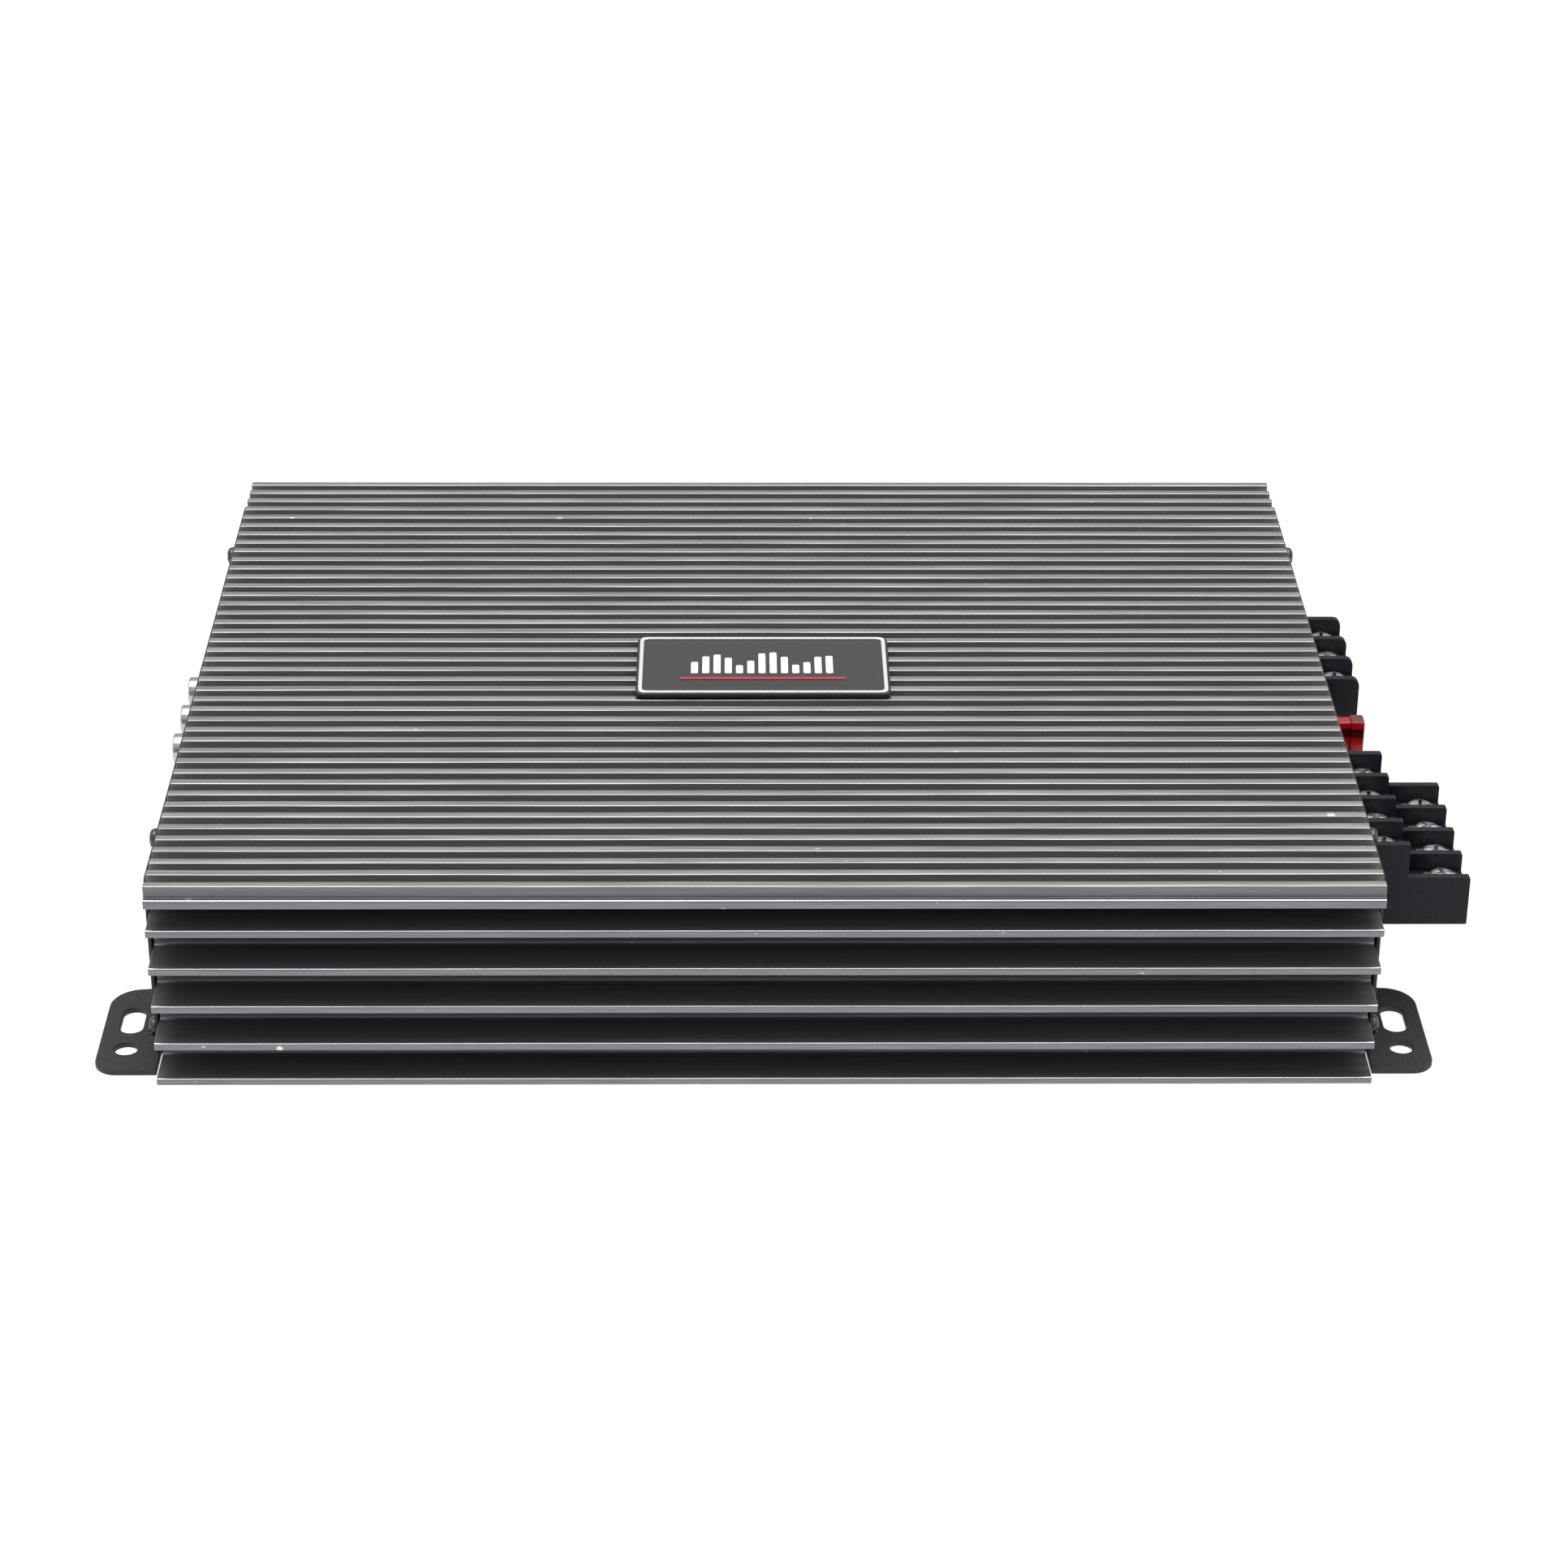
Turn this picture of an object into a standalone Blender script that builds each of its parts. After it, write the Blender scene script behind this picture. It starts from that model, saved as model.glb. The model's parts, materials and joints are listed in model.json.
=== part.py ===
"""Car amplifier: ribbed aluminium extrusion with end panels, terminals, jacks, fuse and inner parts.

Metres, +Z up. X runs along the extrusion, with the power and speaker side at +X and the input side at -X.
The front is at -Y. The origin is the centre of the underside. Dimensions below are in millimetres.
"""

import math

import bmesh
import bpy

MM = 0.001
GAP = 0.3

# Heat-sink extrusion
LENGTH = 300.0
HEIGHT = 55.4
FIN_TIP = 124.0
FIN_TOPS = (52.1, 43.75, 33.15, 22.5, 11.95, 1.8)
FIRST_FIN_THICKNESS = 2.35
FIN_THICKNESS = 1.95
FIN_ROOT_RADIUS = 1.5
WALL_OUTER = 112.0
WALL_INNER = 109.5
ROOF_UNDERSIDE = 47.0
ROOF_CORNER = 4.0
RIB_COUNT = 42
RIB_FIELD = 122.6
RIB_WIDTH = 2.8
RIB_HEIGHT = 4.0
SCREW_BOSS_HALF = 3.6
SCREW_BOSS_UNDERSIDE = 44.6
LEDGE_INNER = 99.2
LEDGE_UNDERSIDE = 1.9
LEDGE_TOP = 12.6
GUIDE_TOP = 14.8
LIP_INNER = 106.5
LIP_TOP = 16.3
SCREW_CHANNEL = (101.2, 103.8, 8.0)
PANEL_SCREW_BORE = 1.4

# End panels and their screws
PANEL_THICKNESS = 1.0
PANEL_HALF_WIDTH = 113.0
PANEL_BOTTOM = 2.0
PANEL_TOP = 52.0
PANEL_CORNER = 2.0
PANEL_SCREWS = ((-85.2, 48.2), (85.2, 48.2), (-107.7, 7.2), (107.7, 7.2))
PANEL_SCREW_HOLE = 1.7
PANEL_HEAD = (2.6, 2.0)
PANEL_SHANK = 9.0
SHANK_RADIUS = 1.1

# Bottom plate
PLATE_THICKNESS = 1.6
PLATE_HALF_WIDTH = 109.2
EAR_INNER = 150.6
EAR_OUTER = 166.5
EAR_FRONT = 119.6
EAR_REAR = 80.0
EAR_REAR_ROOT = 78.8
EAR_FRONT_RADIUS = 5.5
EAR_REAR_RADIUS = 8.0
EAR_HOLE = (159.5, 109.2)
EAR_HOLE_RADIUS = 2.9
EAR_SLOT = (159.5, 95.6)
EAR_SLOT_REACH = 3.2
PLATE_SCREWS = ((-120.0, -102.5), (120.0, -102.5), (-120.0, 102.5), (120.0, 102.5))
PLATE_SCREW_HEAD = 2.9
PLATE_SCREW_SHANK = 7.4
PLATE_SCREW_SUNK = 0.1

# Circuit board
BOARD_BOTTOM = 12.9
BOARD_TOP = 14.5
BOARD_HALF_LENGTH = 147.5
BOARD_HALF_WIDTH = 109.0
ON_BOARD = BOARD_TOP + GAP

# Terminal blocks and their screws
BARRIER = 2.0
CUTOUT_MARGIN = 0.5
TERMINAL_BOTTOM = 26.0
TERMINAL_FLOOR = 43.7
TERMINAL_BACK_TOP = 44.2
TERMINAL_INNER = 141.0
TERMINAL_FOOT_END = 147.5
NUT_WELL = 2.2
NUT_WELL_DEPTH = 8.0
NUT_WELL_FLOOR = 1.5
TERMINAL_HEAD = (3.45, 2.3)
TERMINAL_SHANK = (1.7, 4.6)
SPEAKER_WALL_TOP = 48.7
SPEAKER_FIRST_Y = -90.0
SPEAKER_PITCH = 12.36
SPEAKER_CELLS = 4
SPEAKER_UPPER_END = 161.2
SPEAKER_LOWER_END = 176.9
SPEAKER_LOWER_FLOOR = 34.6
SPEAKER_LOWER_WALL = 39.4
SPEAKER_SCREW_X = (155.4, 171.2)
POWER_WALL_TOP = 48.5
POWER_FIRST_Y = 4.2
POWER_PITCH = 12.56
POWER_CELLS = 3
POWER_END = 161.6
POWER_SCREW_X = 155.6

# Fuse and holder
FUSE_Y = -12.9
FUSE_Z = 35.75
FUSE_OUTER = 160.6
FUSE_INNER = 151.9
FUSE_FLANGE = 157.0
FUSE_BLADE = (2.6, 0.35)
FUSE_BLADE_CENTRE = 5.9
FUSE_BLADE_END = 142.4
FUSE_POCKET_TOP = 158.2
FUSE_LINK_HEIGHT = 2.0
FUSE_BODY_HALF = (2.0, 9.2)
FUSE_FLANGE_HALF = (2.55, 9.55)
FUSE_HOLDER_HALF = (4.6, 10.9)
FUSE_HOLDER_WALL = 1.0
FUSE_CUTOUT_MARGIN = 0.4

# Input side
JACK_YS = (0.8, 18.1, 35.4)
JACK_ZS = (29.3, 15.3)
JACK_RADIUS = 4.15
JACK_BORE = 1.7
JACK_TIP = 159.5
JACK_BASE = 147.9
JACK_BORE_DEPTH = 8.5
JACK_RIM_DEPTH = 0.6
JACK_BLOCK_INNER = 132.0
JACK_BLOCK_MARGIN = (7.3, 8.0)
JACK_BLOCK_STEP = 143.8
JACK_BLOCK_DROP = 6.0
KNOB_YS = (-24.0, -42.0, -60.0)
KNOB_Z = 26.0
KNOB_RADIUS = 4.2
KNOB_TIP = 157.4
KNOB_BACK = 152.2
KNOB_SHAFT = 2.9
KNOB_SHAFT_LENGTH = 10.0
KNOB_CHAMFER = 0.6
POINTER_HALF_WIDTH = 0.4
POINTER_START = 0.8
POTENTIOMETER_HALF = 5.2
POTENTIOMETER_ABOVE = 6.0
POTENTIOMETER_INNER = 138.0
LEVER_YS = (-78.0, -94.0)
LEVER_Z = 28.0
LEVER_SIZE = (3.0, 2.4)
LEVER_TRAVEL = 2.0
LEVER_TIP = 153.8
LEVER_MIDDLE = 149.0
LEVER_LENGTH = 9.8
SWITCH_HALF = (7.0, 3.5)
SWITCH_ENDS = (149.7, 143.0)
LAMP_YS = (60.0, 72.0)
LAMP_Z = 30.0
LAMP_RADIUS = 1.5
LAMP_BASE = 146.6

# Badge
BADGE_CENTRE_Y = -4.0
BADGE_HALF = (33.75, 17.5)
BADGE_BOTTOM = HEIGHT + 0.1
BADGE_TOP = HEIGHT + 1.3
BADGE_FRAME_INSET = (0.7, 1.5)
BADGE_FRAME_HEIGHT = 0.25
BADGE_CORNER = 1.0

# Parts on the board: inner and outer radius or radius, height, and place
TRANSFORMER = (9.0, 24.0, 22.0)
TRANSFORMER_AT = (70.0, 25.0)
CHOKE = (5.0, 14.0, 14.0)
CHOKE_AT = (70.0, -40.0)
CORE_CORNER = 2.0
CAPACITOR = (12.5, 27.0)
CAPACITOR_X = 18.0
CAPACITOR_YS = (-34.0, 0.0)

# Angle bars that clamp the transistors to the side walls
CLAMP_ENDS = (-20.0, 125.0)
CLAMP_OUTER = 104.2
CLAMP_INNER = 97.0
CLAMP_BOTTOM = 22.0
CLAMP_TOP = 36.0
CLAMP_THICKNESS = 2.0


def clear_scene():
    for obj in list(bpy.data.objects):
        bpy.data.objects.remove(obj, do_unlink=True)


def material(name, colour, roughness, metallic=0.0, transmission=0.0):
    made = bpy.data.materials.new(name)
    made.use_nodes = True
    shader = made.node_tree.nodes["Principled BSDF"]
    shader.inputs["Base Color"].default_value = (*colour, 1.0)
    shader.inputs["Roughness"].default_value = roughness
    shader.inputs["Metallic"].default_value = metallic
    shader.inputs["Transmission Weight"].default_value = transmission
    made.diffuse_color = (*colour, 1.0)
    return made


def mesh_of(bm, name):
    """A mesh in metres from a bmesh in millimetres, with its faces pointing out."""
    bmesh.ops.recalc_face_normals(bm, faces=bm.faces)
    bmesh.ops.scale(bm, vec=(MM, MM, MM), verts=bm.verts)
    mesh = bpy.data.meshes.new(name)
    bm.to_mesh(mesh)
    bm.free()
    return mesh


def place(name, mesh, finish, at=(0.0, 0.0, 0.0), turn=(0.0, 0.0, 0.0), parent=None):
    """An object of the mesh at a point in millimetres, turned by angles in degrees."""
    obj = bpy.data.objects.new(name, mesh)
    bpy.context.collection.objects.link(obj)
    if not mesh.materials:
        mesh.materials.append(finish)
    obj.parent = parent
    obj.location = [value * MM for value in at]
    obj.rotation_euler = [math.radians(angle) for angle in turn]
    return obj


def smooth(mesh):
    mesh.shade_smooth()
    mesh.set_sharp_from_angle(angle=math.radians(35.0))
    return mesh


def arc(centre, radius, start, end, steps):
    """Points along a circle from one angle to another, in degrees."""
    angles = [math.radians(start + (end - start) * i / steps) for i in range(steps + 1)]
    return [(centre[0] + radius * math.cos(a), centre[1] + radius * math.sin(a)) for a in angles]


def circle(centre, radius, steps=16):
    return arc(centre, radius, 0.0, 360.0 * (steps - 1) / steps, steps - 1)


def rounded_rectangle(centre, half, radius, steps=4):
    points = []
    for quarter, (sx, sy) in enumerate(((1, 1), (-1, 1), (-1, -1), (1, -1))):
        corner = (centre[0] + sx * (half[0] - radius), centre[1] + sy * (half[1] - radius))
        points += arc(corner, radius, 90.0 * quarter, 90.0 * quarter + 90.0, steps)
    return points


def rectangle(low, high):
    return [(low[0], low[1]), (high[0], low[1]), (high[0], high[1]), (low[0], high[1])]


def extruded(name, loops, low, high):
    """A flat outline with its holes, extruded from one height to another along local Z."""
    bm = bmesh.new()
    edges = []
    for loop in loops:
        corners = [bm.verts.new((x, y, low)) for x, y in loop]
        edges += [bm.edges.new((a, b)) for a, b in zip(corners, corners[1:] + corners[:1])]
    faces = bmesh.ops.triangle_fill(bm, use_beauty=True, edges=edges)["geom"]
    faces = [item for item in faces if isinstance(item, bmesh.types.BMFace)]
    top = bmesh.ops.extrude_face_region(bm, geom=faces)["geom"]
    top = [item for item in top if isinstance(item, bmesh.types.BMVert)]
    bmesh.ops.translate(bm, vec=(0.0, 0.0, high - low), verts=top)
    return mesh_of(bm, name)


def turned(name, profile, segments=16):
    """A profile of radius and height, from the axis at its top to the axis at its bottom, turned around Z."""
    bm = bmesh.new()
    rings = []
    for radius, height in profile:
        if radius == 0.0:
            rings.append([bm.verts.new((0.0, 0.0, height))] * segments)
            continue
        angles = [math.tau * i / segments for i in range(segments)]
        rings.append([bm.verts.new((radius * math.cos(a), radius * math.sin(a), height)) for a in angles])
    for upper, lower in zip(rings, rings[1:]):
        for i in range(segments):
            j = (i + 1) % segments
            bm.faces.new(dict.fromkeys((upper[i], lower[i], lower[j], upper[j])))
    return smooth(mesh_of(bm, name))


def lattice(name, xs, ys, zs, filled):
    """A closed solid of the grid cells at whose centre filled(x, y, z) holds."""
    axes = (xs, ys, zs)
    cells = set()
    for i in range(len(xs) - 1):
        for j in range(len(ys) - 1):
            for k in range(len(zs) - 1):
                middle = [(axis[n] + axis[n + 1]) / 2 for axis, n in zip(axes, (i, j, k))]
                if filled(*middle):
                    cells.add((i, j, k))
    bm = bmesh.new()
    corners = {}

    def corner(index):
        if index not in corners:
            corners[index] = bm.verts.new([axis[n] for axis, n in zip(axes, index)])
        return corners[index]

    for cell in cells:
        for axis in range(3):
            for side in (0, 1):
                neighbour = list(cell)
                neighbour[axis] += 2 * side - 1
                if tuple(neighbour) in cells:
                    continue
                loop = []
                for across, along in ((0, 0), (1, 0), (1, 1), (0, 1)):
                    index = list(cell)
                    index[axis] += side
                    index[(axis + 1) % 3] += across
                    index[(axis + 2) % 3] += along
                    loop.append(corner(tuple(index)))
                bm.faces.new(loop if side else loop[::-1])
    return mesh_of(bm, name)


def block(name, low, high):
    return lattice(name, *((a, b) for a, b in zip(low, high)), lambda x, y, z: True)


def cut(mesh, cutter_mesh):
    """The mesh with the cutter taken out of it."""
    body = bpy.data.objects.new("body", mesh)
    cutter = bpy.data.objects.new("cutter", cutter_mesh)
    for obj in (body, cutter):
        bpy.context.collection.objects.link(obj)
    modifier = body.modifiers.new("cut", "BOOLEAN")
    modifier.object = cutter
    modifier.operation = "DIFFERENCE"
    graph = bpy.context.evaluated_depsgraph_get()
    made = bpy.data.meshes.new_from_object(body.evaluated_get(graph))
    for obj in (body, cutter):
        bpy.data.objects.remove(obj, do_unlink=True)
    return smooth(made)


def cross_recess(name, reach, half_width, bottom, top):
    """The cross that a screwdriver fits."""
    across = (-reach, -half_width, half_width, reach)
    return lattice(name, across, across, (bottom, top), lambda x, y, z: min(abs(x), abs(y)) < half_width)


def along_x(name, mesh, finish):
    """An extrusion whose local X, Y and Z lie along the frame's Y, Z and X."""
    return place(name, mesh, finish, turn=(90.0, 0.0, 90.0))


def heatsink_side():
    """The +Y side of the extrusion's section, from the last rib down the fins to the inner bottom edge."""
    points = [(RIB_FIELD, HEIGHT), (RIB_FIELD, FIN_TOPS[0])]
    root = WALL_OUTER + FIN_ROOT_RADIUS
    for number, top in enumerate(FIN_TOPS):
        bottom = max(top - (FIN_THICKNESS if number else FIRST_FIN_THICKNESS), 0.0)
        if number:
            points += arc((root, top + FIN_ROOT_RADIUS), FIN_ROOT_RADIUS, 180.0, 270.0, 3)
        points += [(FIN_TIP, top), (FIN_TIP, bottom)]
        if bottom > 0.0:
            points += arc((root, bottom - FIN_ROOT_RADIUS), FIN_ROOT_RADIUS, 90.0, 180.0, 3)
    return points + [(WALL_INNER, 0.0)]


def heatsink_inside():
    """The +Y side of the extrusion's inner face, from its bottom edge up to the roof."""
    channel_in, channel_out, channel_top = SCREW_CHANNEL
    boss = abs(PANEL_SCREWS[0][0])
    return [
        (WALL_INNER, LEDGE_UNDERSIDE),
        (channel_out, LEDGE_UNDERSIDE),
        (channel_out, channel_top),
        (channel_in, channel_top),
        (channel_in, LEDGE_UNDERSIDE),
        (LEDGE_INNER, LEDGE_UNDERSIDE),
        (LEDGE_INNER, LEDGE_TOP),
        (WALL_INNER, LEDGE_TOP),
        (WALL_INNER, GUIDE_TOP),
        (LIP_INNER, GUIDE_TOP),
        (LIP_INNER, LIP_TOP),
        (WALL_INNER, LIP_TOP),
        (WALL_INNER, ROOF_UNDERSIDE - ROOF_CORNER),
        (WALL_INNER - ROOF_CORNER, ROOF_UNDERSIDE),
        (boss + SCREW_BOSS_HALF, ROOF_UNDERSIDE),
        (boss + SCREW_BOSS_HALF, SCREW_BOSS_UNDERSIDE),
        (boss - SCREW_BOSS_HALF, SCREW_BOSS_UNDERSIDE),
        (boss - SCREW_BOSS_HALF, ROOF_UNDERSIDE),
    ]


def heatsink_ribs():
    """The ribs' outline from the first to the last, without the two outermost top corners."""
    pitch = (2 * RIB_FIELD - RIB_WIDTH) / (RIB_COUNT - 1)
    floor = HEIGHT - RIB_HEIGHT
    points = []
    for number in range(RIB_COUNT - 1):
        end = -RIB_FIELD + number * pitch + RIB_WIDTH
        start = end + pitch - RIB_WIDTH
        points += [(end, HEIGHT), (end, floor), (start, floor), (start, HEIGHT)]
    return points


def make_heatsink(finish):
    half = heatsink_side() + heatsink_inside()
    outline = heatsink_ribs() + half + [(-y, z) for y, z in reversed(half)]
    bores = [circle(centre, PANEL_SCREW_BORE, 10) for centre in PANEL_SCREWS]
    mesh = extruded("heatsink_shell", [outline, *bores], -LENGTH / 2, LENGTH / 2)
    along_x("heatsink_shell", mesh, finish)


def ear_outline():
    """The +X, -Y quarter of the bottom plate's outline, from its front edge to its side."""
    front = (EAR_OUTER - EAR_FRONT_RADIUS, -EAR_FRONT + EAR_FRONT_RADIUS)
    rear = (EAR_OUTER - EAR_REAR_RADIUS, -EAR_REAR - EAR_REAR_RADIUS)
    points = [(EAR_INNER, -PLATE_HALF_WIDTH), (EAR_INNER, -EAR_FRONT)]
    points += arc(front, EAR_FRONT_RADIUS, -90.0, 0.0, 6)
    points += arc(rear, EAR_REAR_RADIUS, 0.0, 90.0, 8)
    return points + [(EAR_INNER, -EAR_REAR_ROOT)]


def slot(centre, radius, reach):
    """A slot with round ends, long along Y."""
    ends = arc((centre[0], centre[1] + reach), radius, 0.0, 180.0, 10)
    return ends + arc((centre[0], centre[1] - reach), radius, 180.0, 360.0, 10)


def make_bottom_plate(finish):
    quarter = ear_outline()
    side = quarter + [(x, -y) for x, y in reversed(quarter)]
    outline = side + [(-x, y) for x, y in reversed(side)]
    loops = [outline]
    for sx in (1, -1):
        for sy in (1, -1):
            loops.append(circle((sx * EAR_HOLE[0], sy * EAR_HOLE[1]), EAR_HOLE_RADIUS))
            loops.append(slot((sx * EAR_SLOT[0], sy * EAR_SLOT[1]), EAR_HOLE_RADIUS, EAR_SLOT_REACH))
    plate = place("bottom_plate", extruded("bottom_plate", loops, 0.0, PLATE_THICKNESS), finish)
    below = 0.2
    wide = PLATE_SCREW_HEAD + GAP + below
    narrow = wide - PLATE_THICKNESS - 2 * below
    above = below + PLATE_THICKNESS
    profile = ((0.0, above), (narrow, above), (wide, -below), (0.0, -below))
    sink = turned("plate_screw_sink", profile, 12)
    for number, (x, y) in enumerate(PLATE_SCREWS, 1):
        cutter = place(f"plate_sink_{number}", sink, finish, at=(x, y, 0.0))
        cutter.hide_render = True
        cutter.display_type = "WIRE"
        modifier = plate.modifiers.new(f"sink_{number}", "BOOLEAN")
        modifier.object = cutter
        modifier.operation = "DIFFERENCE"


def panel_screw_mesh():
    radius, height = PANEL_HEAD
    tip = -PANEL_SHANK
    head = ((0.0, height), (radius - 0.9, height - 0.25), (radius, 0.35 * height), (radius, 0.0))
    shank = ((SHANK_RADIUS, 0.0), (SHANK_RADIUS, tip + 1.0), (SHANK_RADIUS / 2, tip), (0.0, tip))
    recess = cross_recess("cross", 1.5, 0.35, 0.4 * height, height + 0.5)
    return cut(turned("panel_screw", head + shank, 10), recess)


def terminal_screw_mesh():
    radius, height = TERMINAL_HEAD
    thread, length = TERMINAL_SHANK
    head = ((0.0, height), (0.7 * radius, height - 0.3), (radius, 0.4 * height), (radius, 0.0))
    shank = ((thread, 0.0), (thread, -length), (0.0, -length))
    recess = cross_recess("cross", 0.6 * radius, 0.5, 0.4 * height, height + 0.5)
    return cut(turned("terminal_screw", head + shank, 12), recess)


def plate_screw_mesh():
    rim = PLATE_SCREW_HEAD
    head = ((0.0, 0.0), (rim, 0.0), (SHANK_RADIUS, SHANK_RADIUS - rim))
    shank = ((SHANK_RADIUS, 0.8 - PLATE_SCREW_SHANK), (0.0, -PLATE_SCREW_SHANK))
    return cut(turned("plate_screw", head + shank, 10), cross_recess("cross", 1.5, 0.35, -0.9, 0.5))


def make_panel(name, side, cutouts, finish):
    """An end panel with the holes for its four screws. side is 1 at +X and -1 at -X."""
    middle = (0.0, (PANEL_BOTTOM + PANEL_TOP) / 2)
    half = (PANEL_HALF_WIDTH, (PANEL_TOP - PANEL_BOTTOM) / 2)
    loops = [rounded_rectangle(middle, half, PANEL_CORNER)]
    loops += [circle(centre, PANEL_SCREW_HOLE, 10) for centre in PANEL_SCREWS]
    faces = sorted(side * (LENGTH / 2 + GAP + depth) for depth in (0.0, PANEL_THICKNESS))
    along_x(name, extruded(name, loops + cutouts, *faces), finish)


def make_panel_screws(mesh, finish):
    seat = LENGTH / 2 + 2 * GAP + PANEL_THICKNESS
    for word, side in (("input", -1), ("power", 1)):
        for number, (y, z) in enumerate(PANEL_SCREWS, 1):
            name = f"{word}_panel_screw_{number}"
            place(name, mesh, finish, at=(side * seat, y, z), turn=(0.0, side * 90.0, 0.0))


def make_plate_screws(mesh, finish):
    for number, (x, y) in enumerate(PLATE_SCREWS, 1):
        at = (x, y, PLATE_SCREW_SUNK)
        place(f"bottom_plate_screw_{number}", mesh, finish, at=at, turn=(180.0, 0.0, 0.0))


def cell_centres(first, pitch, cells):
    return [first + BARRIER + (pitch - BARRIER) / 2 + number * pitch for number in range(cells)]


def well_bottom(floor):
    """The bottom of the square well that holds a cell's nut."""
    return max(floor - NUT_WELL_DEPTH, TERMINAL_BOTTOM + NUT_WELL_FLOOR)


def terminal_block(name, first, pitch, cells, steps):
    """A barrier strip with a foot on the board.

    Each step is its outer end, its floor, the top of its barriers and the place of its screws along X.
    """
    centres = cell_centres(first, pitch, cells)
    barriers = [first + number * pitch for number in range(cells + 1)]
    outer = LENGTH / 2 + PANEL_THICKNESS + 2 * GAP
    xs = {TERMINAL_INNER, TERMINAL_FOOT_END, outer}
    zs = {ON_BOARD, TERMINAL_BOTTOM, TERMINAL_BACK_TOP}
    for end, floor, wall_top, screw_x in steps:
        xs |= {end, screw_x - NUT_WELL, screw_x + NUT_WELL}
        zs |= {floor, wall_top, well_bottom(floor)}
    ys = {y + side for y in centres for side in (-NUT_WELL, NUT_WELL)}
    ys |= {y + side for y in barriers for side in (0.0, BARRIER)}

    def filled(x, y, z):
        if x < outer:
            return TERMINAL_BOTTOM < z < TERMINAL_BACK_TOP or (x < TERMINAL_FOOT_END and z < TERMINAL_BOTTOM)
        end, floor, wall_top, screw_x = next(step for step in steps if x < step[0])
        if z < TERMINAL_BOTTOM or z > wall_top:
            return False
        if z > floor:
            return any(wall < y < wall + BARRIER for wall in barriers)
        in_well = abs(x - screw_x) < NUT_WELL and any(abs(y - centre) < NUT_WELL for centre in centres)
        return not (in_well and z > well_bottom(floor))

    return lattice(name, sorted(xs), sorted(ys), sorted(zs), filled)


def terminal_cutout(first, pitch, cells):
    """The panel's opening for a barrier strip."""
    low = (first - CUTOUT_MARGIN, TERMINAL_BOTTOM - CUTOUT_MARGIN)
    high = (first + cells * pitch + BARRIER + CUTOUT_MARGIN, TERMINAL_BACK_TOP + CUTOUT_MARGIN)
    return rectangle(low, high)


def make_terminals(plastic, mesh, nickel):
    steps = [
        (SPEAKER_UPPER_END, TERMINAL_FLOOR, SPEAKER_WALL_TOP, SPEAKER_SCREW_X[0]),
        (SPEAKER_LOWER_END, SPEAKER_LOWER_FLOOR, SPEAKER_LOWER_WALL, SPEAKER_SCREW_X[1]),
    ]
    name = "speaker_terminal_block"
    place(name, terminal_block(name, SPEAKER_FIRST_Y, SPEAKER_PITCH, SPEAKER_CELLS, steps), plastic)
    number = 1
    for end, floor, wall_top, screw_x in steps:
        for y in cell_centres(SPEAKER_FIRST_Y, SPEAKER_PITCH, SPEAKER_CELLS):
            place(f"speaker_terminal_screw_{number}", mesh, nickel, at=(screw_x, y, floor + GAP))
            number += 1
    steps = [(POWER_END, TERMINAL_FLOOR, POWER_WALL_TOP, POWER_SCREW_X)]
    name = "power_terminal_block"
    place(name, terminal_block(name, POWER_FIRST_Y, POWER_PITCH, POWER_CELLS, steps), plastic)
    for number, y in enumerate(cell_centres(POWER_FIRST_Y, POWER_PITCH, POWER_CELLS), 1):
        place(f"power_terminal_screw_{number}", mesh, nickel, at=(POWER_SCREW_X, y, TERMINAL_FLOOR + GAP))


def about(centre, *halves):
    """Sorted planes at plus and minus each half width from the centre."""
    return sorted({centre + sign * half for half in halves for sign in (-1, 1)})


def fuse_blade_planes(clearance):
    """Heights of the blades' edges, with a clearance added on each side."""
    edge = FUSE_BLADE[0] + clearance
    return about(FUSE_Z, FUSE_BLADE_CENTRE - edge, FUSE_BLADE_CENTRE + edge)


def in_blades(z, clearance):
    return abs(abs(z - FUSE_Z) - FUSE_BLADE_CENTRE) < FUSE_BLADE[0] + clearance


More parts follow.
